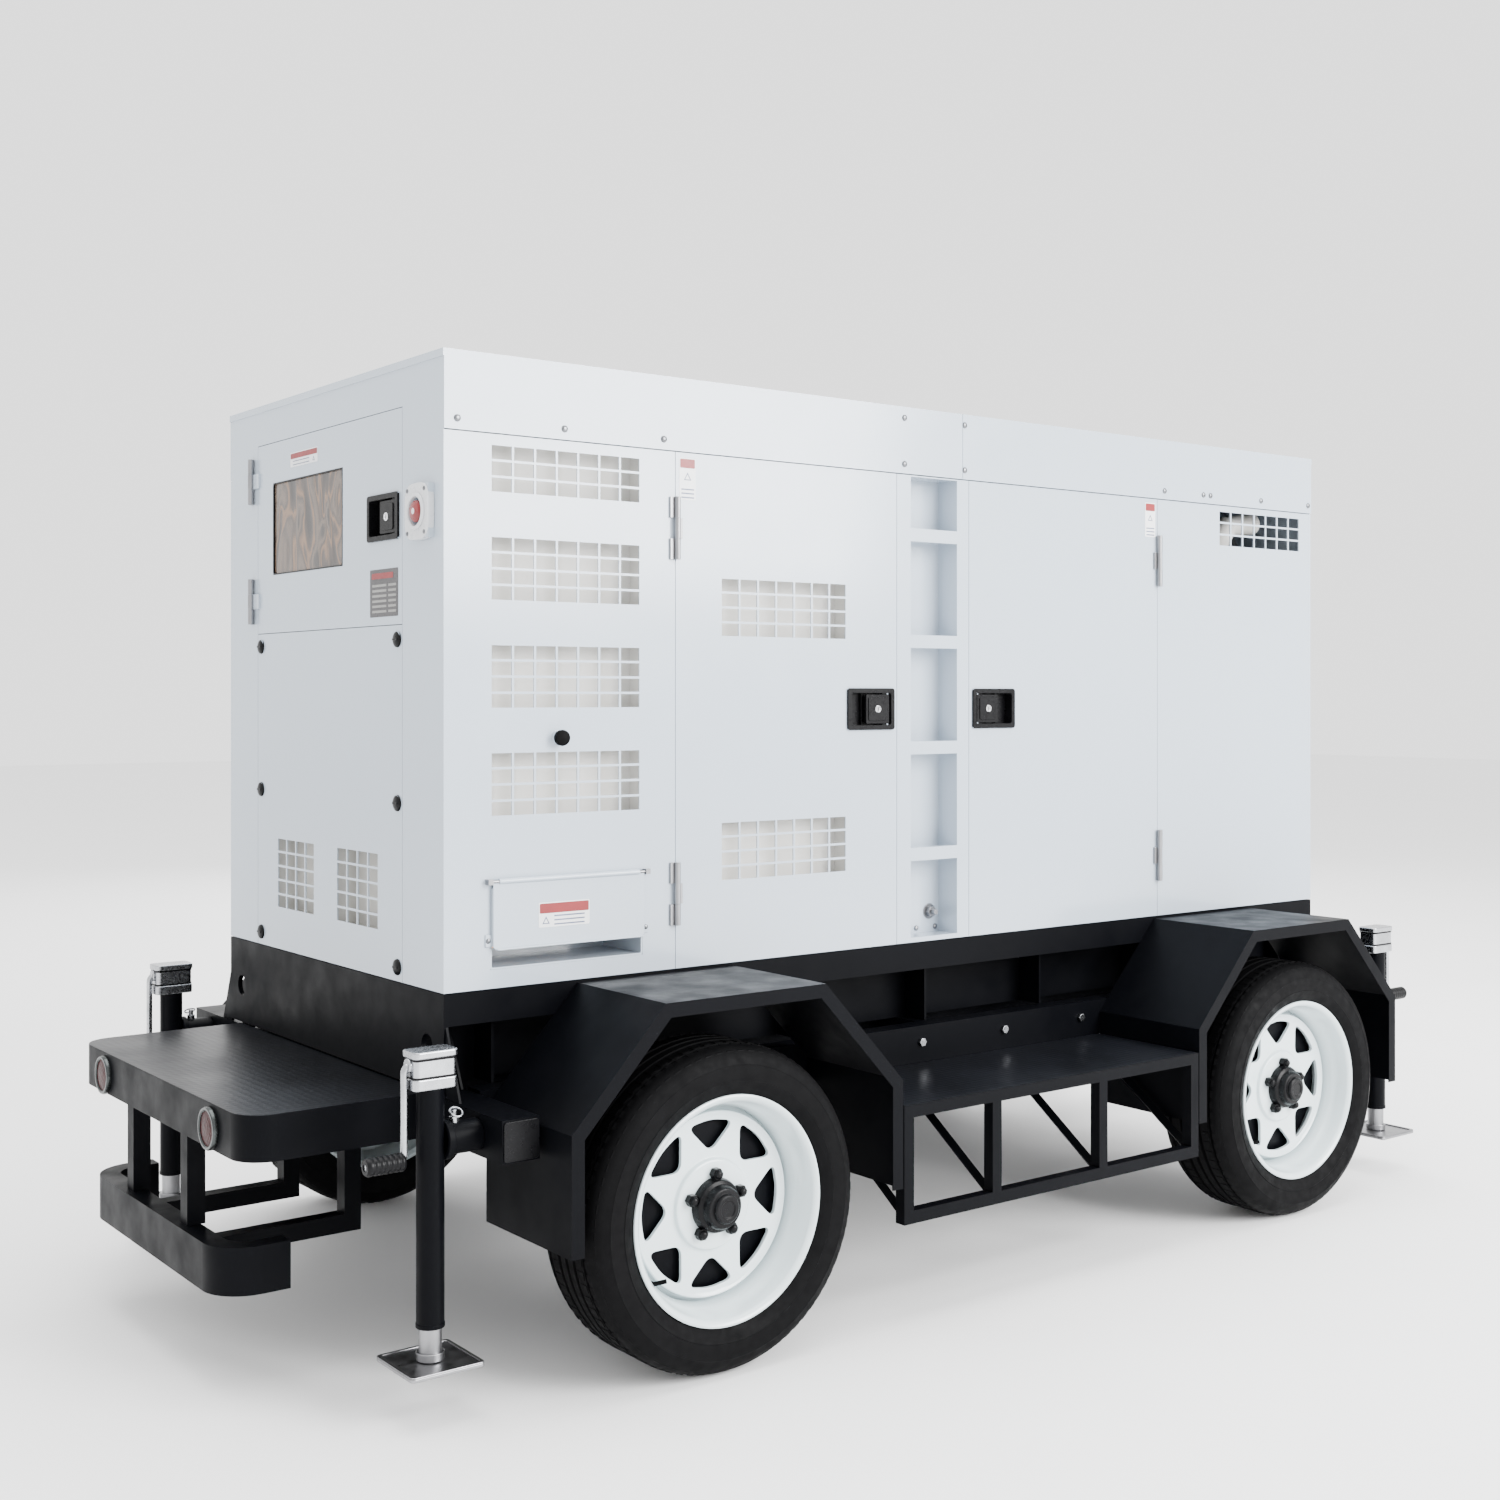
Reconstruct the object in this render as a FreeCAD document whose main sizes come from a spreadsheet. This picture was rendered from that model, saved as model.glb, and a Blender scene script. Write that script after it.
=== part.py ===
"""Towable silent diesel generator on a four-wheel trailer, as a parametric FreeCAD document.

Frame: millimetres, +Z up, +X towards the towing end, +Y to the trailer's left.
The origin is on the ground, at the middle of the overall box.
"""
import FreeCAD, Part
import math
import os
import re

import Sketcher

DIMENSIONS = {
    # canopy shell
    "canopy_rear_x": -1201, "canopy_length": 2530, "canopy_half": 500,
    "canopy_top_z": 1843, "skin": 3, "roof_skirt": 143, "roof_lip": 14, "roof_sheet": 2,
    "roof_split": 1271.5, "seam": 1.5, "pan_depth": 25, "wall_bottom_z": 692, "wall_top_z": 1698,
    # seams between the wall panels, from the canopy's rear face
    "rear_door_start": 502, "rear_door_end": 1079, "front_door_start": 1292, "front_door_end": 1922,
    # ventilation grilles
    "cell_wide": 42, "cell_tall": 25, "cell_pitch_wide": 46.6, "cell_pitch_tall": 29.5,
    "wall_grille_start": 97, "wall_grille_low_z": 1005, "wall_grille_step": 196.3,
    "door_grille_start": 615, "door_grille_low_z": 857, "door_grille_high_z": 1342,
    "front_grille_start": 2158, "front_grille_z": 1599,
    "service_grille_z": 780, "service_grille_left": 57, "service_grille_right": -235,
    # rear end
    "end_right_y": -338.5, "end_left_y": 346.5, "control_bottom_z": 1356, "control_top_z": 1757,
    "window_right_y": -80, "window_left_y": 264, "window_bottom_z": 1478, "window_top_z": 1672,
    "window_lap": 12, "pane": 3, "fastener_r": 14, "fastener_in": 20,
    # side ladder
    "rung_start": 1120, "rung_end": 1257, "rung_depth": 60, "rung_tall": 28, "rung_pitch": 229.7,
    "rung_low_z": 867, "ladder_bottom_z": 702,
    # cable outlet and its flap
    "outlet_start": 94, "outlet_end": 426, "outlet_bottom_z": 726, "outlet_top_z": 889,
    "outlet_depth": 150, "flap_tall": 124, "flap_sheet": 2, "flap_pin": 3, "flap_lug": 10,
    # hinges and latches
    "hinge_out": 7.5, "hinge_barrel": 6, "hinge_pin": 3, "hinge_tall": 122, "small_hinge_tall": 97,
    "hinge_high_z": 1488, "hinge_low_z": 777, "small_hinge_high_z": 1635, "small_hinge_low_z": 1377,
    "small_hinge_y": 367, "hinge_tab": 14, "hinge_sheet": 4.5, "running": 0.05,
    "hinge_gap": 0.5,
    "latch_wide": 128, "latch_tall": 86, "latch_z": 1152, "small_latch_z": 1516, "latch_rim": 8,
    "latch_proud": 3, "latch_deep": 20, "latch_wall": 2, "latch_edge": 10, "paddle_wide": 62,
    "paddle_tall": 62, "paddle_thick": 6, "paddle_pin": 2, "paddle_barrel": 4.5, "paddle_in": 1,
    "paddle_from_rim": 8, "buffer_r": 14, "buffer_out": 20, "buffer_start": 237, "buffer_z": 1145,
    # emergency stop
    "stop_y": -421, "stop_z": 1557, "stop_wide": 86, "stop_tall": 98, "stop_plate": 12,
    "stop_bowl_r": 26, "stop_button_r": 20, "stop_stem_r": 6, "stop_gap": 8,
    # base frame and chassis
    "tank_wall": 5, "breather_x": 1120, "breather_y": 300, "breather_r": 9,
    "base_half": 390, "base_top_z": 690, "base_flange": 58, "gusset": 6, "gusset_pitch": 360,
    "chassis_top_z": 510, "rail_wall": 6, "rail_tall": 80, "rail_wide": 50, "main_rail_y": 300,
    "side_rail_wide": 45, "beam_wide": 73, "beam_tall": 74, "beam_half": 710,
    "front_beam_x": 1272, "lift_eye_r": 22, "lift_eye_y": 436, "lift_eye_z": 590, "end_plate": 10,
    # running gear
    "rear_axle_x": -775, "front_axle_x": 892, "wheel_mid_y": 697, "wheel_r": 297, "tyre_half": 97.5,
    "tyre_shoulder": 28, "rim_r": 199, "rim_flange_r": 208, "rim_half": 88, "rim_flange": 8,
    "rim_sheet": 6, "disc_out": 24, "disc_sheet": 8, "disc_hole_r": 17, "disc_hole_pitch_r": 138,
    "hub_r": 55, "nut_r": 11, "nut_tall": 14, "nut_pitch_r": 57.15, "cap_r": 32,
    "axle_box": 60, "axle_z": 297, "stub_r": 22.5, "bracket_long": 120,
    "kingpin_y": 620, "kingpin_r": 12, "knuckle_side": 50, "knuckle_tall": 70, "lug": 12,
    "lug_gap": 2, "arm_reach": 120, "arm_low_z": 262, "arm_thick": 16, "link_pin_r": 8,
    "link_tube_r": 12, "link_z": 296, "yoke_pin_r": 20, "yoke_low_z": 200, "yoke_box": 60,
    # fenders, steps and deck
    "rear_fender_x": -741, "front_fender_x": 890, "fender_half": 374, "fender_flat": 181,
    "fender_low_z": 272, "fender_shoulder_z": 482, "fender_top_z": 686, "fender_wide": 293,
    "fender_sheet": 3, "fender_lip": 26, "step_start_x": -364, "step_end_x": 513,
    "step_top_z": 430, "step_thick": 24, "guard_low_z": 200, "guard_bar": 25,
    "deck_long": 345, "deck_half": 440, "deck_top_z": 506, "deck_skirt": 80, "deck_corner": 60,
    "deck_sheet": 4, "bumper_rear_x": -1556, "bumper_half": 355, "bumper_low_z": 175,
    "bumper_tall": 85, "bumper_deep": 40, "bumper_return": 130, "bumper_corner": 80,
    "strut": 34, "strut_y": 145, "strut_low_z": 195, "lamp_y": 285, "lamp_z": 462, "lamp_r": 38,
    "lamp_deep": 8,
    # corner jacks
    "rear_jack_x": -1291, "front_jack_x": 1435, "jack_y": 623, "jack_pivot_z": 467,
    "jack_tube_r": 24, "jack_low_z": 153, "jack_head_z": 558, "jack_head_tall": 66,
    "jack_head_half": 42, "jack_head_side": 25, "jack_leg_r": 20, "jack_leg_top_z": 500,
    "foot_z": 90, "foot_side": 138, "foot_thick": 8, "pivot_tube_r": 28, "pivot_pin_r": 18,
    "pivot_pin_long": 58, "pull_pin_r": 5, "pull_pin_tall": 30, "crank_z": 600, "crank_rod_r": 6.5,
    "crank_drop": 160, "crank_out": 49, "crank_in": 20, "grip_r": 16, "grip_long": 72,
    # drawbar
    "hinge_x": 1500, "hinge_z": 230, "drawbar_pin_r": 12, "drawbar_box": 58, "drawbar_long": 1046,
    "drawbar_lean": 3, "eye_r": 25, "eye_outer_r": 48, "eye_thick": 28, "eye_reach": 1090,
    "ear_thick": 12, "ear_tall": 70, "ear_front": 35, "ear_long": 115,
    # engine, alternator and cooling
    "shaft_z": 980, "shaft_r": 30, "engine_x": 330, "engine_long": 560, "engine_half": 150,
    "engine_low_z": 760, "engine_top_z": 1180, "head_half": 90, "head_tall": 130,
    "alternator_x": -220, "alternator_long": 500, "alternator_r": 215, "alternator_wall": 60,
    "alternator_end": 20, "rotor_r": 135, "foot_half": 170, "pulley_r": 70, "pulley_wide": 20,
    "fan_x": 965, "fan_r": 240, "fan_z": 1235, "fan_pin_r": 12, "fan_hub_r": 70,
    "blade_root": 50, "fan_deep": 34,
    "blade_thick": 4, "blade_wide": 80, "radiator_x": 1030, "radiator_deep": 60,
    "radiator_half": 330, "radiator_low_z": 770, "radiator_tall": 790, "muffler_x": 1210,
    "muffler_z": 1600, "muffler_r": 80, "muffler_half": 300, "pipe_r": 32,
    # control box and outlet terminals
    "control_box_x": -1150, "control_box_deep": 190, "control_box_half": 285, "bezel": 12,
    "terminal_r": 9, "terminal_out": 34, "terminal_pitch": 70, "terminal_first": 155,
}

doc = FreeCAD.newDocument("TowableGenerator")
sheet = doc.addObject("Spreadsheet::Sheet", "Sheet")
for row, (alias, value) in enumerate(DIMENSIONS.items(), start=1):
    sheet.set(f"A{row}", alias)
    sheet.set(f"B{row}", str(value))
    sheet.setAlias(f"B{row}", alias)
doc.recompute()

WORD = re.compile(r"[a-z][a-z_]+")
QUARTER_TURN = FreeCAD.Rotation(FreeCAD.Vector(0, 0, 1), 90)
HALF_TURN = FreeCAD.Rotation(FreeCAD.Vector(0, 0, 1), 180)
UPRIGHT = FreeCAD.Rotation()
ROTATIONS = {
    "x": FreeCAD.Rotation(FreeCAD.Vector(0, 1, 0), 90),
    "y": FreeCAD.Rotation(FreeCAD.Vector(1, 0, 0), -90),
    "z": UPRIGHT,
}
SIDES = {"right": -1, "left": 1}
ENDS = {"rear": -1, "front": 1}
FAN_BLADES = 5
BLADE_PITCH = 35
NODES = {}


def size(alias):
    """One dimension of the sheet, as a number."""
    return float(sheet.get(alias))


def bind(item, prop, text):
    """Bind a property to an expression in which each dimension's name stands for its cell."""
    item.setExpression(prop, WORD.sub(lambda word: "Sheet." + word.group(0), str(text)))


def put(item, x, y, z, rotation=UPRIGHT):
    """Place an object at a bound point, turned by a fixed rotation."""
    item.Placement = FreeCAD.Placement(FreeCAD.Vector(), rotation)
    bind(item, "Placement.Base.x", x)
    bind(item, "Placement.Base.y", y)
    bind(item, "Placement.Base.z", z)
    return item


class Spot:
    """A place to build at: its own origin, with x and y mirrored or swapped as the place needs."""

    def __init__(self, x="0", y="0", flip_x=1, flip_y=1, swapped=False):
        self.origin = {"x": x, "y": y, "z": "0"}
        self.flip = {"x": flip_x, "y": flip_y, "z": 1}
        self.axis = {"x": "y", "y": "x", "z": "z"} if swapped else {"x": "x", "y": "y", "z": "z"}
        self.turn = QUARTER_TURN if swapped else UPRIGHT

    def low(self, axis, start, end):
        """The expression of a span's lower end in the model's frame."""
        world = self.axis[axis]
        if self.flip[world] > 0:
            return f"{self.origin[world]} + ({start})"
        return f"{self.origin[world]} - ({end})"

    def slab(self, name, x_span, y_span, z_span):
        """A box between bound limits."""
        item = doc.addObject("Part::Box", name)
        spans = {"x": x_span, "y": y_span, "z": z_span}
        lows = {}
        for axis, prop in (("x", "Length"), ("y", "Width"), ("z", "Height")):
            source = self.axis[axis]
            start, end = spans[source]
            bind(item, prop, f"({end}) - ({start})")
            lows[axis] = self.low(source, start, end)
        return put(item, lows["x"], lows["y"], lows["z"])

    def rod(self, name, axis, start, end, across, radius):
        """A cylinder along one axis; across gives its place on the other two, in x, y, z order."""
        item = doc.addObject("Part::Cylinder", name)
        bind(item, "Radius", radius)
        bind(item, "Height", f"({end}) - ({start})")
        others = [other for other in "xyz" if other != axis]
        lows = {self.axis[axis]: self.low(axis, start, end)}
        for other, place in zip(others, across):
            lows[self.axis[other]] = self.low(other, place, place)
        return put(item, lows["x"], lows["y"], lows["z"], ROTATIONS[self.axis[axis]])


MIDDLE = Spot()
HALVES = {side: Spot(flip_y=sign) for side, sign in SIDES.items()}
WALLS = {
    side: Spot("canopy_rear_x", f"{sign} * canopy_half", flip_y=sign) for side, sign in SIDES.items()
}
REAR_WALL = Spot("canopy_rear_x", "0", flip_x=-1, swapped=True)


def gather(kind, name, pieces):
    """Join pieces as a Part::MultiFuse or a Part::Compound."""
    item = doc.addObject(kind, name)
    setattr(item, "Shapes" if kind == "Part::MultiFuse" else "Links", pieces)
    return item


def fuse(name, *pieces):
    return gather("Part::MultiFuse", name, list(pieces))


def cut(name, base, *tools):
    """The base without its tools."""
    item = doc.addObject("Part::Cut", name)
    item.Base = base
    item.Tool = tools[0] if len(tools) == 1 else fuse(name + "_tools", *tools)
    return item


def node(name, *pieces):
    """Name a sub-part; separate solids of one sub-part lie face to face in a compound."""
    item = pieces[0] if len(pieces) == 1 else gather("Part::Compound", name + "_pieces", list(pieces))
    item.Label = name
    NODES[name] = item
    return item


def sketch_body(name, plane, points):
    """A PartDesign body with one closed sketch, each corner held by two bound distances."""
    body = doc.addObject("PartDesign::Body", name)
    sketch = body.newObject("Sketcher::SketchObject", name + "_outline")
    origin = next(item for item in body.Origin.OriginFeatures if item.Role == plane)
    sketch.AttachmentSupport = (origin, "")
    sketch.MapMode = "FlatFace"
    count = len(points)
    ring = [math.tau * (index + 0.3) / count for index in range(count)]
    corners = [FreeCAD.Vector(10 * math.cos(angle), 10 * math.sin(angle), 0) for angle in ring]
    for index, corner in enumerate(corners):
        sketch.addGeometry(Part.LineSegment(corner, corners[(index + 1) % count]), False)
    for index in range(count):
        following = (index + 1) % count
        sketch.addConstraint(Sketcher.Constraint("Coincident", index, 2, following, 1))
    for index, (across, along) in enumerate(points):
        for kind, start, text in (
            ("DistanceX", corners[index].x, across),
            ("DistanceY", corners[index].y, along),
        ):
            number = sketch.addConstraint(Sketcher.Constraint(kind, -1, 1, index, 1, start))
            bind(sketch, f"Constraints[{number}]", text)
    return body, sketch


def padded(name, plane, points, length, backwards=False):
    """A sketch on an origin plane, padded."""
    body, sketch = sketch_body(name, plane, points)
    pad = body.newObject("PartDesign::Pad", name + "_pad")
    pad.Profile = sketch
    pad.Reversed = backwards
    bind(pad, "Length", length)
    doc.recompute()
    return body


def turned(name, points):
    """A sketch of radius against y, revolved about the body's y axis."""
    body, sketch = sketch_body(name, "XY_Plane", points)
    revolution = body.newObject("PartDesign::Revolution", name + "_revolution")
    revolution.Profile = sketch
    revolution.ReferenceAxis = (sketch, ["V_Axis"])
    revolution.Angle = 360
    doc.recompute()
    return body


def rounded(body, radius, wanted):
    """Fillet the edges of a body that a test picks."""
    edges = [f"Edge{place}" for place, edge in enumerate(body.Shape.Edges, 1) if wanted(edge)]
    blank = body.Tip
    fillet = body.newObject("PartDesign::Fillet", body.Name + "_fillet")
    fillet.Base = (blank, edges)
    bind(fillet, "Radius", radius)
    doc.recompute()
    return body


def stands_at(edge, x):
    """Whether an edge is a vertical line at the given x of its body."""
    ends = [vertex.Point for vertex in edge.Vertexes]
    return len(ends) == 2 and all(abs(end.x - x) < 0.01 for end in ends) and (
        abs(ends[0].z - ends[1].z) > 1
    )


def grille(name, spot, start, low_z, columns, rows):
    """The cells of one ventilation grille, as a tool to cut a panel with."""
    deep = 4 * size("skin")
    cells = []
    for column in range(columns):
        for line in range(rows):
            corner = FreeCAD.Vector(
                column * size("cell_pitch_wide"), -deep / 2, line * size("cell_pitch_tall")
            )
            cells.append(Part.makeBox(size("cell_wide"), deep, size("cell_tall"), corner))
    item = doc.addObject("Part::Feature", name)
    item.Shape = Part.makeCompound(cells)
    lows = {"x": "0", "y": "0"}
    lows[spot.axis["x"]] = spot.low("x", start, start)
    lows[spot.axis["y"]] = spot.low("y", "0", "0")
    return put(item, lows["x"], lows["y"], low_z, spot.turn)


# ---------------------------------------------------------------- hinges and latches

def hinge(name, spot, pivot, towards, low_z, tall, reach):
    """A pinned leaf hinge: the fixed leaf with its pin, and the leaf that swings on it."""
    third = f"({tall}) / 3"
    levels = (f"{low_z}", f"{low_z} + {third}", f"{low_z} + 2 * {third}", f"{low_z} + {tall}")

    def leaf(piece, start, end, width, side):
        plate_span = (pivot, f"{pivot} + {width}") if side > 0 else (f"{pivot} - ({width})", pivot)
        plate = spot.slab(f"{name}_{piece}_plate", plate_span, ("0", "hinge_sheet"), (start, end))
        barrel = spot.rod(
            f"{name}_{piece}_barrel", "z", start, end, (pivot, "hinge_out"), "hinge_barrel"
        )
        return fuse(f"{name}_{piece}_blank", plate, barrel)

    low_leaf = leaf("low", levels[0], levels[1], "hinge_tab", -towards)
    high_leaf = leaf("high", levels[2], levels[3], "hinge_tab", -towards)
    pin = spot.rod(f"{name}_pin", "z", levels[0], levels[3], (pivot, "hinge_out"), "hinge_pin")
    fixed = fuse(f"{name}_fixed", low_leaf, high_leaf, pin)
    swing_leaf = leaf(
        "swing", f"{levels[1]} + hinge_gap", f"{levels[2]} - hinge_gap", reach, towards
    )
    bore = spot.rod(
        f"{name}_bore", "z", levels[0], levels[3], (pivot, "hinge_out"), "hinge_pin + running"
    )
    return fixed, cut(f"{name}_swing", swing_leaf, bore)


def latch(name, spot, edge, towards, low_z):
    """A recessed paddle latch: its cup with the paddle's pin, the paddle, and the cup's opening."""

    def across(near, far):
        """A span measured back from the door's closing edge."""
        if towards > 0:
            return (f"{edge} - ({far})", f"{edge} - ({near})")
        return (f"{edge} + {near}", f"{edge} + {far}")

    near = "latch_edge"
    far = "latch_edge + latch_wide"
    rim = spot.slab(
        f"{name}_rim", across(near, far), ("0", "latch_proud"), (low_z, f"{low_z} + latch_tall")
    )
    shell = spot.slab(
        f"{name}_shell", across(f"{near} + latch_rim - latch_wall", f"{far} - latch_rim + latch_wall"),
        ("-latch_deep", "0"),
        (f"{low_z} + latch_rim - latch_wall", f"{low_z} + latch_tall - latch_rim + latch_wall"),
    )
    hollow = spot.slab(
        f"{name}_hollow", across(f"{near} + latch_rim", f"{far} - latch_rim"),
        ("-latch_deep + latch_wall", "2 * latch_proud"),
        (f"{low_z} + latch_rim", f"{low_z} + latch_tall - latch_rim"),
    )
    opening = spot.slab(
        f"{name}_opening",
        across(f"{near} + latch_rim - latch_wall", f"{far} - latch_rim + latch_wall"),
        ("-2 * skin", "skin"),
        (f"{low_z} + latch_rim - latch_wall", f"{low_z} + latch_tall - latch_rim + latch_wall"),
    )
    pivot_in = f"{near} + latch_rim + paddle_from_rim"
    pivot = across(pivot_in, pivot_in)[0]
    middle_z = f"{low_z} + latch_tall / 2"
    paddle_z = (f"{middle_z} - paddle_tall / 2", f"{middle_z} + paddle_tall / 2")
    pin = spot.rod(
        f"{name}_pin", "z", f"{low_z} + latch_rim - latch_wall / 2",
        f"{low_z} + latch_tall - latch_rim + latch_wall / 2", (pivot, "-paddle_in"), "paddle_pin"
    )
    cup = fuse(f"{name}_cup", cut(f"{name}_tray", fuse(f"{name}_blank", rim, shell), hollow), pin)
    plate = spot.slab(
        f"{name}_plate", across(pivot_in, f"{pivot_in} + paddle_wide"),
        ("-paddle_in - paddle_thick / 2", "-paddle_in + paddle_thick / 2"), paddle_z,
    )
    barrel = spot.rod(f"{name}_barrel", "z", *paddle_z, (pivot, "-paddle_in"), "paddle_barrel")
    bore = spot.rod(f"{name}_bore", "z", *paddle_z, (pivot, "-paddle_in"), "paddle_pin + running")
    paddle = cut(f"{name}_paddle", fuse(f"{name}_paddle_blank", plate, barrel), bore)
    return cup, paddle, opening


def pan(name, spot, x_span, z_span):
    """A door skin with its four edges folded inwards."""
    blank = spot.slab(f"{name}_blank", x_span, ("-pan_depth", "0"), z_span)
    hollow = spot.slab(
        f"{name}_hollow", (f"{x_span[0]} + skin", f"{x_span[1]} - skin"),
        ("-2 * pan_depth", "-skin"), (f"{z_span[0]} + skin", f"{z_span[1]} - skin"),
    )
    return cut(f"{name}_pan", blank, hollow)


# ---------------------------------------------------------------- canopy

def make_side_doors():
    fixed_leaves = []
    for side, spot in WALLS.items():
        for end, towards in (("rear", 1), ("front", -1)):
            name = f"door_{end}_{side}"
            span = (f"{end}_door_start + seam", f"{end}_door_end")
            pivot, edge = (f"{end}_door_start + seam / 2", f"{end}_door_end")
            if towards < 0:
                pivot, edge = (f"{end}_door_end + seam / 2", f"{end}_door_start + seam")
            shell = pan(name, spot, span, ("wall_bottom_z", "wall_top_z"))
            cup, paddle, opening = latch(f"latch_{end}_{side}", spot, edge, towards, "latch_z")
            tools = [opening]
            if end == "rear":
                for level in ("low", "high"):
                    tools.append(
                        grille(
                            f"{name}_{level}_grille", spot, "door_grille_start",
                            f"door_grille_{level}_z", 7, 4,
                        )
                    )
            leaves = []
            for level in ("low", "high"):
                fixed, swing = hinge(
                    f"{name}_{level}_hinge", spot, pivot, towards, f"hinge_{level}_z", "hinge_tall",
                    "hinge_tab",
                )
                fixed_leaves.append(fixed)
                leaves.append(swing)
            node(name, cut(f"{name}_skin", shell, *tools), cup, *leaves)
            node(f"latch_paddle_{end}_{side}", paddle)
    return fixed_leaves


def make_control_door():
    spot = REAR_WALL
    name = "control_door"
    shell = pan(name, spot, ("end_right_y + seam", "end_left_y - seam"),
                ("control_bottom_z", "control_top_z"))
    window = spot.slab(
        "control_window_opening", ("window_right_y", "window_left_y"), ("-2 * skin", "skin"),
        ("window_bottom_z", "window_top_z"),
    )
    pane = spot.slab(
        "control_window_pane", ("window_right_y - window_lap", "window_left_y + window_lap"),
        ("-skin - pane", "-skin"), ("window_bottom_z - window_lap", "window_top_z + window_lap"),
    )
    cup, paddle, opening = latch("latch_control", spot, "end_right_y + 2 * seam", -1, "small_latch_z")
    leaves = []
    fixed_leaves = []
    for level in ("low", "high"):
        fixed, swing = hinge(
            f"control_{level}_hinge", spot, "small_hinge_y", -1, f"small_hinge_{level}_z",
            "small_hinge_tall", "small_hinge_y - end_left_y + hinge_tab",
        )
        fixed_leaves.append(fixed)
        leaves.append(swing)
    node(name, cut("control_skin", shell, window, opening), cup, *leaves)
    node("control_window", pane)
    node("latch_paddle_control", paddle)
    return fixed_leaves


def make_side_panels():
    pieces = []
    height = ("wall_bottom_z", "wall_top_z")
    sheet_span = ("-skin", "0")
    for side, spot in WALLS.items():
        rear = spot.slab(f"rear_panel_{side}", ("0", "rear_door_start"), sheet_span, height)
        tools = [
            grille(
                f"rear_grille_{side}_{level}", spot, "wall_grille_start",
                f"wall_grille_low_z + {level} * wall_grille_step", 7, 3 if level == 3 else 4,
            )
            for level in range(4)
        ]
        if side == "right":
            tools.append(
                spot.slab(
                    "outlet_opening", ("outlet_start", "outlet_end"), ("-2 * skin", "skin"),
                    ("outlet_bottom_z", "outlet_top_z"),
                )
            )
        pieces.append(cut(f"rear_panel_{side}_cut", rear, *tools))
        post = spot.slab(
            f"ladder_post_{side}", ("rear_door_end + seam", "front_door_start"),
            ("-rung_depth - skin", "0"), height,
        )
        pocket = spot.slab(
            f"ladder_pocket_{side}", ("rung_start", "rung_end"), ("-rung_depth", "skin"),
            ("ladder_bottom_z", "wall_top_z - skin"),
        )
        pieces.append(cut(f"ladder_{side}", post, pocket))
        for rung in range(4):
            low = f"rung_low_z + {rung} * rung_pitch"
            pieces.append(
                spot.slab(
                    f"rung_{side}_{rung}", ("rung_start", "rung_end"), ("-rung_tall", "0"),
                    (low, f"{low} + rung_tall"),
                )
            )
        front = spot.slab(
            f"side_front_panel_{side}", ("front_door_end + seam", "canopy_length"), sheet_span, height
        )
        tool = grille(f"front_grille_{side}", spot, "front_grille_start", "front_grille_z", 7, 3)
        pieces.append(cut(f"side_front_panel_{side}_cut", front, tool))
        pieces.append(
            spot.slab(
                f"top_rail_{side}", ("0", "canopy_length"), sheet_span,
                ("wall_top_z + roof_sheet", "canopy_top_z - skin"),
            )
        )
        pieces.append(
            spot.rod(
                f"door_buffer_{side}", "y", "0", "buffer_out", ("buffer_start", "buffer_z"), "buffer_r"
            )
        )
    node("side_panels", *pieces)


def make_roof():
    pieces = []
    skirt_z = ("canopy_top_z - roof_skirt", "canopy_top_z")
    halves = (("rear", "0", "roof_split"), ("front", "roof_split + seam", "canopy_length"))
    for name, start, end in halves:
        top = MIDDLE.slab(
            f"roof_{name}", (f"canopy_rear_x + {start}", f"canopy_rear_x + {end}"),
            ("-canopy_half", "canopy_half"), ("canopy_top_z - skin", "canopy_top_z"),
        )
        skirts = [
            spot.slab(f"roof_skirt_{name}_{side}", (start, end), ("0", "roof_sheet"), skirt_z)
            for side, spot in WALLS.items()
        ]
        pieces.append(fuse(f"roof_{name}_half", top, *skirts))
    lip_z = ("canopy_top_z - roof_lip", "canopy_top_z")
    lip_y = ("-canopy_half - roof_sheet", "canopy_half + roof_sheet")
    pieces.append(
        MIDDLE.slab("roof_lip_rear", ("canopy_rear_x - roof_sheet", "canopy_rear_x"), lip_y, lip_z)
    )
    front_x = "canopy_rear_x + canopy_length"
    pieces.append(MIDDLE.slab("roof_lip_front", (front_x, f"{front_x} + roof_sheet"), lip_y, lip_z))
    node("roof", *pieces)


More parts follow.
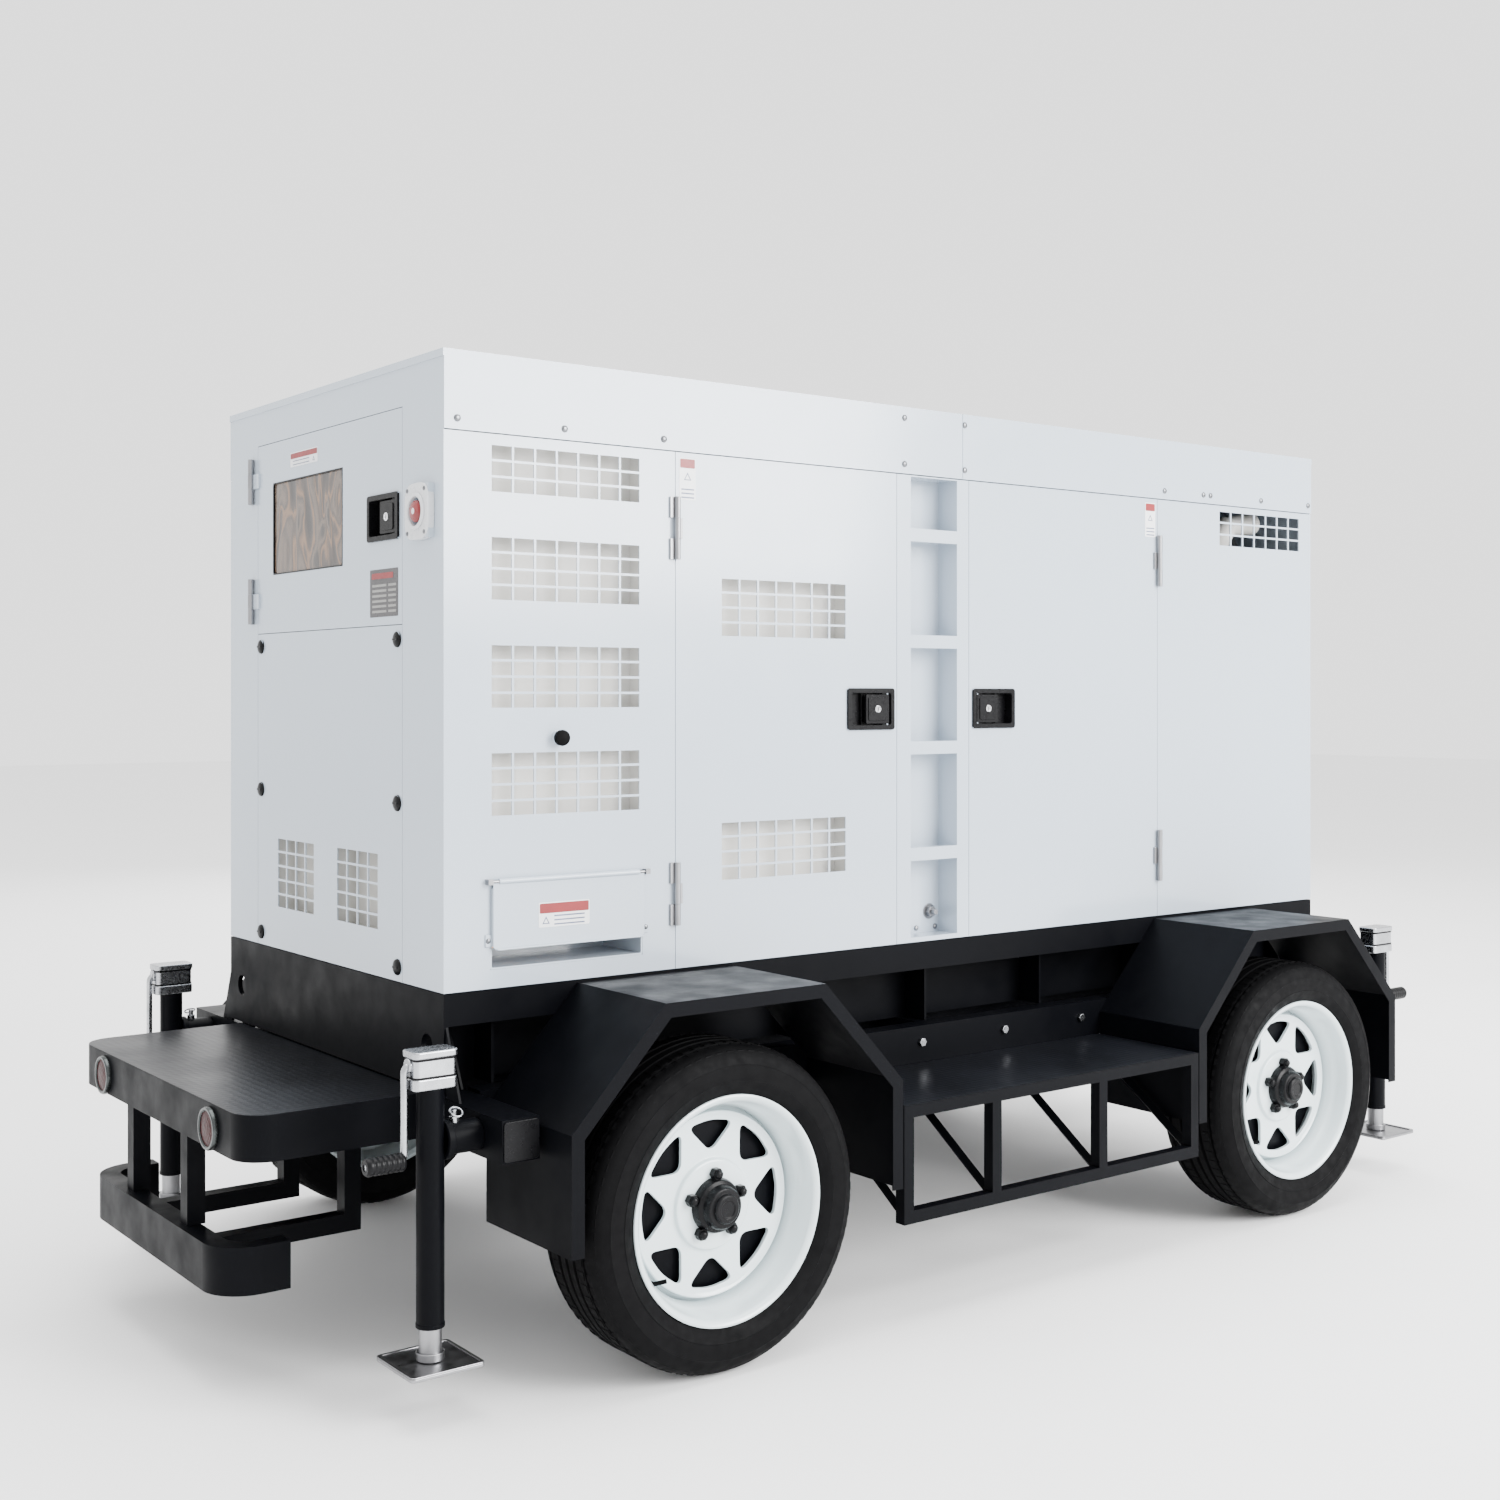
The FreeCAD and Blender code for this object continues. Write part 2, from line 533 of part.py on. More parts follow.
def make_ends():
    spot = REAR_WALL
    sheet_span = ("-skin", "0")
    inner_half = "canopy_half - skin"
    tall = ("wall_bottom_z", "canopy_top_z - skin")
    right = spot.slab("corner_right", (f"-({inner_half})", "end_right_y"), sheet_span, tall)
    left = spot.slab("corner_left", ("end_left_y", inner_half), sheet_span, tall)
    header = spot.slab(
        "rear_header", ("end_right_y", "end_left_y"), sheet_span,
        ("control_top_z + seam", "canopy_top_z - skin"),
    )
    stop_span = ("stop_y - stop_wide / 2", "stop_y + stop_wide / 2")
    stop_z = ("stop_z - stop_tall / 2", "stop_z + stop_tall / 2")
    plate = spot.slab("stop_plate", stop_span, ("0", "stop_plate"), stop_z)
    bowl = spot.rod(
        "stop_bowl", "y", "skin", "2 * stop_plate", ("stop_y", "stop_z"), "stop_bowl_r"
    )
    stem_hole = spot.rod(
        "stop_hole", "y", "-2 * skin", "2 * skin", ("stop_y", "stop_z"), "stop_stem_r + running"
    )
    corner_hole = spot.rod(
        "stop_corner_hole", "y", "-2 * skin", "skin", ("stop_y", "stop_z"), "stop_stem_r + 2 * skin"
    )
    node(
        "rear_end_frame", cut("corner_right_cut", right, corner_hole), left, header,
        cut("stop_housing", plate, bowl, stem_hole),
    )
    stem = spot.rod(
        "stop_stem", "y", "-stop_plate", "stop_gap + skin", ("stop_y", "stop_z"), "stop_stem_r"
    )
    mushroom = spot.rod(
        "stop_mushroom", "y", "stop_gap + skin", "2 * stop_plate + skin", ("stop_y", "stop_z"),
        "stop_button_r",
    )
    node("stop_button", fuse("stop_button_blank", stem, mushroom))
    panel_z = ("wall_bottom_z", "control_bottom_z - seam")
    panel = spot.slab(
        "service_sheet", ("end_right_y + seam", "end_left_y - seam"), sheet_span, panel_z
    )
    tools = [
        grille(f"service_grille_cells_{side}", spot, f"service_grille_{side}", "service_grille_z", 4, 5)
        for side in SIDES
    ]
    fasteners = []
    for side, place in (("right", "end_right_y + fastener_in"), ("left", "end_left_y - fastener_in")):
        for level, share in (("low", 0.04), ("middle", 0.5), ("high", 0.96)):
            z = f"wall_bottom_z + {share} * (control_bottom_z - wall_bottom_z)"
            fasteners.append(
                spot.rod(f"fastener_{level}_{side}", "y", "0", "skin", (place, z), "fastener_r")
            )
    node("service_panel", cut("service_sheet_cut", panel, *tools), *fasteners)
    front_x = "canopy_rear_x + canopy_length"
    node(
        "front_panel",
        MIDDLE.slab(
            "front_sheet", (f"{front_x} - skin", front_x), (f"-({inner_half})", inner_half), tall
        ),
    )


def make_cable_outlet():
    """The top-hinged flap over the cable outlet, on the right side."""
    spot = WALLS["right"]
    flap_x = ("outlet_start + seam", "outlet_end - seam")
    axis_z = "outlet_top_z - flap_pin"
    out = "skin + flap_lug / 2"
    flap = spot.slab(
        "flap_sheet", flap_x, (f"{out} - flap_sheet / 2", f"{out} + flap_sheet / 2"),
        (f"{axis_z} - flap_tall", axis_z),
    )
    barrel = spot.rod("flap_barrel", "x", *flap_x, (out, axis_z), "flap_pin + flap_sheet")
    bore = spot.rod("flap_bore", "x", *flap_x, (out, axis_z), "flap_pin + running")
    node("outlet_flap", cut("flap", fuse("flap_blank", flap, barrel), bore))
    pieces = []
    for name, start in (("rear", "outlet_start - flap_lug"), ("front", "outlet_end")):
        pieces.append(
            spot.slab(
                f"flap_ear_{name}", (start, f"{start} + flap_lug"), ("0", f"{out} + flap_lug / 2"),
                (f"{axis_z} - flap_lug / 2", f"{axis_z} + flap_lug / 2"),
            )
        )
    pieces.append(
        spot.rod("flap_pin_rod", "x", "outlet_start", "outlet_end", (out, axis_z), "flap_pin")
    )
    return fuse("flap_hinge", *pieces)


def make_control_box():
    box_x = ("control_box_x", "control_box_x + control_box_deep")
    half = "control_box_half"
    box = MIDDLE.slab(
        "control_case", box_x, (f"-{half}", half), ("control_bottom_z + bezel", "control_top_z - bezel")
    )
    display = MIDDLE.slab(
        "control_display", ("control_box_x - bezel", "control_box_x"), ("-20", "120"),
        ("window_bottom_z + 3 * bezel", "window_top_z - 3 * bezel"),
    )
    board = WALLS["right"].slab(
        "terminal_board", ("outlet_start", "outlet_end"),
        ("-outlet_depth - bezel", "-outlet_depth"), ("outlet_bottom_z", "outlet_top_z"),
    )
    studs = [
        WALLS["right"].rod(
            f"terminal_{stud}", "y", "-outlet_depth", "-outlet_depth + terminal_out",
            (f"terminal_first + {stud} * terminal_pitch", "(outlet_bottom_z + outlet_top_z) / 2"),
            "terminal_r",
        )
        for stud in range(4)
    ]
    node("control_box", box, display, board, *studs)


# ---------------------------------------------------------------- engine and cooling

def make_power_unit():
    engine_end = "engine_x + engine_long"
    bore = MIDDLE.rod(
        "crank_bore", "x", "engine_x - 1", f"{engine_end} + 1", ("0", "shaft_z"), "shaft_r + running"
    )
    block = MIDDLE.slab(
        "engine_case", ("engine_x", engine_end), ("-engine_half", "engine_half"),
        ("engine_low_z", "engine_top_z"),
    )
    head = MIDDLE.slab(
        "engine_head", ("engine_x + skin", f"{engine_end} - skin"), ("-head_half", "head_half"),
        ("engine_top_z", "engine_top_z + head_tall"),
    )
    feet = MIDDLE.slab(
        "engine_feet", ("engine_x", engine_end), ("-foot_half", "foot_half"),
        ("base_top_z", "engine_low_z"),
    )
    fan_pin = MIDDLE.rod(
        "fan_pin", "x", f"{engine_end} - skin", "fan_x + fan_deep", ("0", "fan_z"), "fan_pin_r"
    )
    node("engine_block", cut("engine_bored", block, bore), head, feet, fan_pin)

    alternator_end = "alternator_x + alternator_long"
    shell = MIDDLE.rod(
        "stator_shell", "x", "alternator_x", alternator_end, ("0", "shaft_z"), "alternator_r"
    )
    room = MIDDLE.rod(
        "stator_room", "x", "alternator_x + alternator_end", f"{alternator_end} - alternator_end",
        ("0", "shaft_z"), "alternator_r - alternator_wall",
    )
    shaft_hole = MIDDLE.rod(
        "stator_hole", "x", "alternator_x - 1", f"{alternator_end} + 1", ("0", "shaft_z"),
        "shaft_r + running",
    )
    alternator_feet = MIDDLE.slab(
        "alternator_feet", ("alternator_x + alternator_end", f"{alternator_end} - alternator_end"),
        ("-foot_half", "foot_half"), ("base_top_z", "shaft_z - alternator_r + skin"),
    )
    node(
        "alternator",
        cut("stator", fuse("stator_blank", shell, alternator_feet), room, shaft_hole),
    )
    rotor_span = ("alternator_x + 2 * alternator_end", f"{alternator_end} - 2 * alternator_end")
    shaft = MIDDLE.rod(
        "crankshaft", "x", "alternator_x - alternator_end", f"{engine_end} + pulley_wide + skin",
        ("0", "shaft_z"), "shaft_r",
    )
    rotor = MIDDLE.rod("rotor_core", "x", *rotor_span, ("0", "shaft_z"), "rotor_r")
    pulley = MIDDLE.rod(
        "crank_pulley", "x", f"{engine_end} + skin", f"{engine_end} + skin + pulley_wide",
        ("0", "shaft_z"), "pulley_r",
    )
    node("crankshaft_rotor", fuse("crankshaft_blank", shaft, rotor, pulley))

    hub = MIDDLE.rod("fan_hub", "x", "fan_x - fan_deep", "fan_x + fan_deep", ("0", "fan_z"), "fan_hub_r")
    fan_bore = MIDDLE.rod(
        "fan_bore", "x", "fan_x - 2 * fan_deep", "fan_x + 2 * fan_deep", ("0", "fan_z"),
        "fan_pin_r + running",
    )
    blades = []
    for blade in range(FAN_BLADES):
        turn = 360 / FAN_BLADES * blade
        item = doc.addObject("Part::Box", f"fan_blade_{blade}")
        bind(item, "Length", "blade_thick")
        bind(item, "Width", "blade_wide")
        bind(item, "Height", "fan_r - blade_root")
        angle = FreeCAD.Rotation(FreeCAD.Vector(1, 0, 0), turn)
        turned = angle * FreeCAD.Rotation(FreeCAD.Vector(0, 0, 1), BLADE_PITCH)
        up = angle.multVec(FreeCAD.Vector(0, 0, 1))
        half = turned.multVec(FreeCAD.Vector(0, 0.5, 0))
        put(
            item, f"fan_x - ({half.x:.6f}) * blade_wide",
            f"({up.y:.6f}) * blade_root - ({half.y:.6f}) * blade_wide",
            f"fan_z + ({up.z:.6f}) * blade_root - ({half.z:.6f}) * blade_wide", turned,
        )
        blades.append(item)
    node("cooling_fan", cut("fan", fuse("fan_blank", hub, *blades), fan_bore))


def make_cooling():
    node(
        "radiator",
        MIDDLE.slab(
            "radiator_core", ("radiator_x", "radiator_x + radiator_deep"),
            ("-radiator_half", "radiator_half"), ("radiator_low_z", "radiator_low_z + radiator_tall"),
        ),
        MIDDLE.slab(
            "radiator_feet", ("radiator_x", "radiator_x + radiator_deep"),
            ("-radiator_half", "radiator_half"), ("base_top_z", "radiator_low_z"),
        ),
    )
    case = MIDDLE.rod(
        "muffler_case", "y", "-muffler_half", "muffler_half", ("muffler_x", "muffler_z"), "muffler_r"
    )
    pipe = MIDDLE.rod(
        "muffler_pipe", "z", "base_top_z", "muffler_z", ("muffler_x", "-muffler_half / 2"), "pipe_r"
    )
    node("muffler", fuse("muffler_blank", case, pipe))


# ---------------------------------------------------------------- chassis

def hollow_rail(name, spot, x_span, y_span, z_span, along):
    """A steel tube with open ends, running along one axis."""
    spans = {"x": x_span, "y": y_span, "z": z_span}
    inner = {
        axis: (f"{start} - 1", f"{end} + 1") if axis == along
        else (f"{start} + rail_wall", f"{end} - rail_wall")
        for axis, (start, end) in spans.items()
    }
    return cut(
        name, spot.slab(f"{name}_outer", *spans.values()), spot.slab(f"{name}_room", *inner.values())
    )


def make_chassis():
    beam_rear = ("canopy_rear_x", "canopy_rear_x + beam_wide")
    beam_front = ("front_beam_x", "front_beam_x + beam_wide")
    rail_z = ("chassis_top_z - rail_tall", "chassis_top_z")
    beam_z = ("chassis_top_z - rail_tall", "chassis_top_z - rail_tall + beam_tall")
    beam_y = ("-beam_half", "beam_half")
    rail_x = (beam_rear[1], beam_front[0])
    pieces = [
        hollow_rail("beam_rear", MIDDLE, beam_rear, beam_y, beam_z, "y"),
        hollow_rail("beam_front", MIDDLE, beam_front, beam_y, beam_z, "y"),
    ]
    inner = "main_rail_y - rail_wide / 2"
    outer = "main_rail_y + rail_wide / 2"
    for side, spot in HALVES.items():
        side_rail_y = ("canopy_half - side_rail_wide", "canopy_half")
        pieces.append(hollow_rail(f"main_rail_{side}", spot, rail_x, (inner, outer), rail_z, "x"))
        pieces.append(hollow_rail(f"side_rail_{side}", spot, rail_x, side_rail_y, rail_z, "x"))
        for number, place in enumerate(("rear_axle_x", "0", "front_axle_x")):
            span = (f"{place} - rail_wide / 2", f"{place} + rail_wide / 2")
            pieces.append(
                spot.slab(
                    f"outrigger_{side}_{number}", span, (outer, "canopy_half - side_rail_wide"), rail_z
                )
            )
    for number, place in enumerate(("rear_axle_x", "0", "front_axle_x")):
        span = (f"{place} - rail_wide / 2", f"{place} + rail_wide / 2")
        pieces.append(MIDDLE.slab(f"cross_member_{number}", span, (f"-({inner})", inner), rail_z))
    for end, sign in ENDS.items():
        face = beam_rear[0] if sign < 0 else beam_front[1]
        for side, side_sign in SIDES.items():
            spot = Spot(face, f"{side_sign} * jack_y", flip_x=sign, flip_y=side_sign)
            pieces.append(
                spot.rod(
                    f"pivot_pin_{end}_{side}", "x", "0", "pivot_pin_long", ("0", "jack_pivot_z"),
                    "pivot_pin_r",
                )
            )
    node("chassis_frame", *pieces)


def make_base():
    end_x = "canopy_rear_x + canopy_length"
    tank_x = ("canopy_rear_x + end_plate", f"{end_x} - end_plate")
    shell = MIDDLE.slab(
        "tank_shell", tank_x, ("-base_half", "base_half"), ("chassis_top_z", "base_top_z")
    )
    room = MIDDLE.slab(
        "tank_room", (f"{tank_x[0]} + tank_wall", f"{tank_x[1]} - tank_wall"),
        ("-base_half + tank_wall", "base_half - tank_wall"),
        ("chassis_top_z + tank_wall", "base_top_z - tank_wall"),
    )
    breather = MIDDLE.rod(
        "tank_breather", "z", "base_top_z - 2 * tank_wall", "base_top_z + 1",
        ("breather_x", "breather_y"), "breather_r",
    )
    pieces = [cut("tank", shell, room, breather)]
    flange_z = ("base_top_z - base_flange", "base_top_z")
    for side, spot in HALVES.items():
        pieces.append(spot.slab(f"base_flange_{side}", tank_x, ("base_half", "canopy_half"), flange_z))
        for number in range(-3, 4):
            place = f"{number} * gusset_pitch"
            pieces.append(
                spot.slab(
                    f"gusset_{side}_{number + 3}", (place, f"{place} + gusset"),
                    ("base_half", "canopy_half - side_rail_wide"),
                    ("chassis_top_z", "base_top_z - base_flange"),
                )
            )
    for end, start in (("rear", "canopy_rear_x"), ("front", f"{end_x} - end_plate")):
        span = (start, f"{start} + end_plate")
        plate = MIDDLE.slab(
            f"base_end_{end}", span, ("-canopy_half", "canopy_half"), ("chassis_top_z", "base_top_z")
        )
        holes = [
            spot.rod(
                f"lift_hole_{end}_{side}", "x", f"{span[0]} - 1", f"{span[1]} + 1",
                ("lift_eye_y", "lift_eye_z"), "lift_eye_r",
            )
            for side, spot in HALVES.items()
        ]
        pieces.append(cut(f"base_end_{end}_cut", plate, *holes))
    node("base_tank", *pieces)


def make_platform():
    rear_x = "-deck_long"
    outer = [(rear_x, "-deck_half"), ("0", "-deck_half"), ("0", "deck_half"), (rear_x, "deck_half")]
    shell = padded("deck_outer", "XY_Plane", outer, "deck_skirt")
    rounded(shell, "deck_corner", lambda edge: stands_at(edge, -size("deck_long")))
    put(shell, "canopy_rear_x", "0", "deck_top_z - deck_skirt")
    inner_x = "-deck_long + deck_sheet"
    inner_y = "deck_half - deck_sheet"
    inner = [(inner_x, f"-({inner_y})"), ("1", f"-({inner_y})"), ("1", inner_y), (inner_x, inner_y)]
    room = padded("deck_inner", "XY_Plane", inner, "deck_skirt")
    rounded(
        room, "deck_corner - deck_sheet",
        lambda edge: stands_at(edge, size("deck_sheet") - size("deck_long")),
    )
    put(room, "canopy_rear_x", "0", "deck_top_z - deck_skirt - deck_sheet")
    node("rear_platform", cut("deck", shell, room))

    bumper_outer = [
        ("0", "-bumper_half"), ("bumper_return", "-bumper_half"),
        ("bumper_return", "bumper_half"), ("0", "bumper_half"),
    ]
    bar = padded("bumper_outer", "XY_Plane", bumper_outer, "bumper_tall")
    rounded(bar, "bumper_corner", lambda edge: stands_at(edge, 0))
    put(bar, "bumper_rear_x", "0", "bumper_low_z")
    hollow_y = "bumper_half - bumper_deep"
    bumper_inner = [
        ("bumper_deep", f"-({hollow_y})"), ("bumper_return + 1", f"-({hollow_y})"),
        ("bumper_return + 1", hollow_y), ("bumper_deep", hollow_y),
    ]
    hollow = padded("bumper_inner", "XY_Plane", bumper_inner, "bumper_tall + 2")
    rounded(hollow, "bumper_corner - bumper_deep", lambda edge: stands_at(edge, size("bumper_deep")))
    put(hollow, "bumper_rear_x", "0", "bumper_low_z - 1")
    pieces = [cut("bumper_bar", bar, hollow)]
    post_x = "canopy_rear_x - deck_long + deck_sheet"
    across = ("strut_y - strut / 2", "strut_y + strut / 2")
    for side, spot in HALVES.items():
        pieces.append(
            spot.slab(
                f"bumper_post_{side}", (post_x, f"{post_x} + strut"), across,
                ("bumper_low_z + bumper_tall", "deck_top_z - deck_sheet"),
            )
        )
        pieces.append(
            spot.slab(
                f"bumper_rail_{side}", ("bumper_rear_x + bumper_deep", "canopy_rear_x"), across,
                ("strut_low_z", "strut_low_z + strut"),
            )
        )
        pieces.append(
            spot.slab(
                f"bumper_riser_{side}", ("canopy_rear_x - strut", "canopy_rear_x"), across,
                ("strut_low_z + strut", "deck_top_z - deck_sheet"),
            )
        )
    node("rear_bumper", *pieces)
    lamp_face = "canopy_rear_x - deck_long"
    node(
        "tail_lamps",
        *[
            spot.rod(
                f"tail_lamp_{side}", "x", f"{lamp_face} - lamp_deep", lamp_face, ("lamp_y", "lamp_z"),
                "lamp_r",
            )
            for side, spot in HALVES.items()
        ],
    )


def fender_outline(inset, below):
    """The five-sided wheel arch in x and z, drawn in by an inset all round."""
    half = f"fender_half - ({inset})"
    shoulder = f"fender_shoulder_z - 0.4 * ({inset})"
    flat = f"fender_flat - 0.42 * ({inset})"
    top = f"fender_top_z - ({inset})"
    low = f"fender_low_z - ({below})"
    right_half = [(half, low), (half, shoulder), (flat, top)]
    left_half = [(f"-({flat})", top), (f"-({half})", shoulder), (f"-({half})", low)]
    return right_half + left_half


def make_fenders():
    pieces = []
    for end in ENDS:
        for side, sign in SIDES.items():
            name = f"fender_{end}_{side}"
            start = "canopy_half" if sign > 0 else "-canopy_half - fender_wide"
            shell = padded(f"{name}_outer", "XZ_Plane", fender_outline("0", "0"), "fender_wide", True)
            put(shell, f"{end}_fender_x", start, "0")
            room = padded(
                f"{name}_room", "XZ_Plane", fender_outline("fender_sheet", "1"),
                "fender_wide - fender_sheet + 1", True,
            )
            put(room, f"{end}_fender_x", "canopy_half - 1" if sign > 0 else (
                "-canopy_half - fender_wide + fender_sheet"
            ), "0")
            window = padded(
                f"{name}_window", "XZ_Plane", fender_outline("fender_lip", "1"), "3 * fender_sheet", True
            )
            outer_face = f"{sign} * (canopy_half + fender_wide - fender_sheet / 2)"
            put(window, f"{end}_fender_x", f"{outer_face} - 1.5 * fender_sheet", "0")
            pieces.append(cut(name, shell, room, window))
    node("fenders", *pieces)


def make_side_steps():
    pieces = []
    outer = "canopy_half + fender_wide"
    under = "step_top_z - step_thick"
    for side, spot in HALVES.items():
        pieces.append(
            spot.slab(
                f"step_{side}", ("step_start_x", "step_end_x"), ("canopy_half", outer),
                (under, "step_top_z"),
            )
        )
        pieces.append(
            spot.slab(
                f"guard_rail_{side}", ("step_start_x", "step_end_x"), (f"{outer} - guard_bar", outer),
                ("guard_low_z", "guard_low_z + guard_bar"),
            )
        )
        room = "(step_end_x - step_start_x - guard_bar)"
        for number, share in enumerate((0, 0.28, 0.65, 1)):
            start = f"step_start_x + {share} * {room}"
            pieces.append(
                spot.slab(
                    f"guard_post_{side}_{number}", (start, f"{start} + guard_bar"),
                    (f"{outer} - guard_bar", outer), ("guard_low_z + guard_bar", under),
                )
            )
    node("side_steps", *pieces)


# ---------------------------------------------------------------- running gear

def make_wheels():
    bead = "rim_half - rim_flange"
    for end in ENDS:
        for side, sign in SIDES.items():
            spot = Spot(f"{end}_axle_x", f"{sign} * wheel_mid_y", flip_y=sign)
            turn = UPRIGHT if sign > 0 else HALF_TURN
            centre = (f"{end}_axle_x", f"{sign} * wheel_mid_y", "wheel_r")
            tag = f"{end}_{side}"
            tyre = turned(
                f"tyre_blank_{tag}",
                [
                    ("rim_r", f"-({bead})"), ("rim_flange_r", f"-({bead})"),
                    ("rim_flange_r + 12", "-tyre_half + 4"), ("(rim_r + wheel_r) / 2", "-tyre_half"),
                    ("wheel_r", "-tyre_half + 8"), ("wheel_r", "tyre_half - 8"),
                    ("(rim_r + wheel_r) / 2", "tyre_half"), ("rim_flange_r + 12", "tyre_half - 4"),
                    ("rim_flange_r", bead), ("rim_r", bead),
                ],
            )
            tread_r = size("wheel_r")
            rounded(
                tyre, "tyre_shoulder",
                lambda edge: hasattr(edge.Curve, "Radius") and abs(edge.Curve.Radius - tread_r) < 0.01,
            )
            put(tyre, *centre, turn)
            inner = "rim_r - rim_sheet"
            room = spot.rod(
                f"tyre_room_{tag}", "y", f"-({bead}) + skin", f"{bead} - skin", ("0", "wheel_r"),
                "wheel_r - 20",
            )
            core = spot.rod(
                f"tyre_core_{tag}", "y", "-tyre_half", "tyre_half", ("0", "wheel_r"), "rim_r + 10"
            )
            node(f"tyre_{tag}", cut(f"tyre_hollow_{tag}", tyre, cut(f"tyre_air_{tag}", room, core)))

            rim = turned(
                f"rim_{tag}",
                [
                    ("rim_flange_r", "-rim_half"), ("rim_flange_r", f"-({bead})"),
                    ("rim_r", f"-({bead})"), ("rim_r", bead),
                    ("rim_flange_r", bead), ("rim_flange_r", "rim_half"),
                    (inner, "rim_half"), (inner, "disc_out + disc_sheet"),
                    ("stub_r + running", "disc_out + disc_sheet"), ("stub_r + running", "disc_out"),
                    (inner, "disc_out"), (inner, "-rim_half"),
                ],
            )
            put(rim, *centre, turn)
            holes = []
            for number in range(8):
                angle = math.radians(45 * number + 22.5)
                place = (
                    f"disc_hole_pitch_r * {math.cos(angle):.4f}",
                    f"wheel_r + disc_hole_pitch_r * {math.sin(angle):.4f}",
                )
                holes.append(
                    spot.rod(
                        f"disc_hole_{tag}_{number}", "y", "disc_out - 5", "disc_out + disc_sheet + 5",
                        place, "disc_hole_r",
                    )
                )
            hub = spot.rod(
                f"hub_{tag}", "y", "-disc_out", "disc_out", ("0", "wheel_r"), "hub_r"
            )
            hub_bore = spot.rod(
                f"hub_bore_{tag}", "y", "-2 * disc_out", "2 * disc_out + 5", ("0", "wheel_r"),
                "stub_r + running",
            )
            cap = spot.rod(
                f"cap_{tag}", "y", "disc_out + disc_sheet", "2 * disc_out + 22", ("0", "wheel_r"),
                "cap_r",
            )
            cap_room = spot.rod(
                f"cap_room_{tag}", "y", "disc_out", "2 * disc_out + 5", ("0", "wheel_r"),
                "stub_r + running",
            )
            nuts = []
            for number in range(5):
                angle = math.radians(72 * number + 90)
                place = (
                    f"nut_pitch_r * {math.cos(angle):.4f}",
                    f"wheel_r + nut_pitch_r * {math.sin(angle):.4f}",
                )
                nuts.append(
                    spot.rod(
                        f"nut_{tag}_{number}", "y", "disc_out + disc_sheet",
                        "disc_out + disc_sheet + nut_tall", place, "nut_r",
                    )
                )
            node(
                f"wheel_{tag}", cut(f"rim_cut_{tag}", rim, *holes), cut(f"hub_cut_{tag}", hub, hub_bore),
                cut(f"cap_cut_{tag}", cap, cap_room), *nuts,
            )


def make_axles():
    half = "axle_box / 2"
    beam_z = (f"axle_z - {half}", f"axle_z + {half}")
    stub_end = "wheel_mid_y + 2 * disc_out"
    rail = ("main_rail_y - rail_wide / 2", "main_rail_y + rail_wide / 2")
    bracket_z = (f"axle_z + {half}", "chassis_top_z - rail_tall")
    rear_x = (f"rear_axle_x - {half}", f"rear_axle_x + {half}")
    rear = [MIDDLE.slab("rear_axle_beam", rear_x, ("-kingpin_y", "kingpin_y"), beam_z)]
    front_x = (f"front_axle_x - {half}", f"front_axle_x + {half}")
    inner = "kingpin_y - knuckle_side"
    front = [MIDDLE.slab("front_axle_beam", front_x, (f"-({inner})", inner), beam_z)]
    for side, spot in HALVES.items():
        rear.append(
            spot.rod(f"rear_stub_{side}", "y", "kingpin_y", stub_end, ("rear_axle_x", "axle_z"), "stub_r")
        )
        for end, pieces in (("rear", rear), ("front", front)):
            span = (f"{end}_axle_x - bracket_long / 2", f"{end}_axle_x + bracket_long / 2")
            pieces.append(spot.slab(f"{end}_bracket_{side}", span, rail, bracket_z))
        lug_y = (f"{inner} - lug", "kingpin_y + knuckle_side / 2")
        gap = "knuckle_tall / 2 + lug_gap"
        lugs = []
        for level, sign in (("low", -1), ("high", 1)):
            near = f"axle_z + {sign} * ({gap})"
            far = f"axle_z + {sign} * ({gap} + lug)"
            lug_z = (near, far) if sign > 0 else (far, near)
            lugs.append(spot.slab(f"lug_{level}_{side}", front_x, lug_y, lug_z))
        cheek = spot.slab(
            f"lug_cheek_{side}", front_x, (f"{inner} - lug", inner),
            (f"axle_z - ({gap})", f"axle_z + {gap}"),
        )
        pin = spot.rod(
            f"kingpin_{side}", "z", f"axle_z - ({gap}) - lug", f"axle_z + {gap} + lug",
            ("front_axle_x", "kingpin_y"), "kingpin_r",
        )
        front.append(fuse(f"kingpin_fork_{side}", *lugs, cheek, pin))
    yoke_pin = MIDDLE.rod(
        "yoke_pin", "z", "yoke_low_z - 2", f"axle_z - {half}", ("front_axle_x", "0"), "yoke_pin_r"
    )
    yoke_washer = MIDDLE.rod(
        "yoke_washer", "z", "yoke_low_z - 14", "yoke_low_z - 2", ("front_axle_x", "0"),
        "1.5 * yoke_pin_r",
    )
    beam = front.pop(0)
    forks = [piece for piece in front if piece.Name.startswith("kingpin_fork")]
    brackets = [piece for piece in front if not piece.Name.startswith("kingpin_fork")]
    node("rear_axle", *rear)
    node("front_axle", fuse("front_axle_weldment", beam, *forks, yoke_pin, yoke_washer), *brackets)


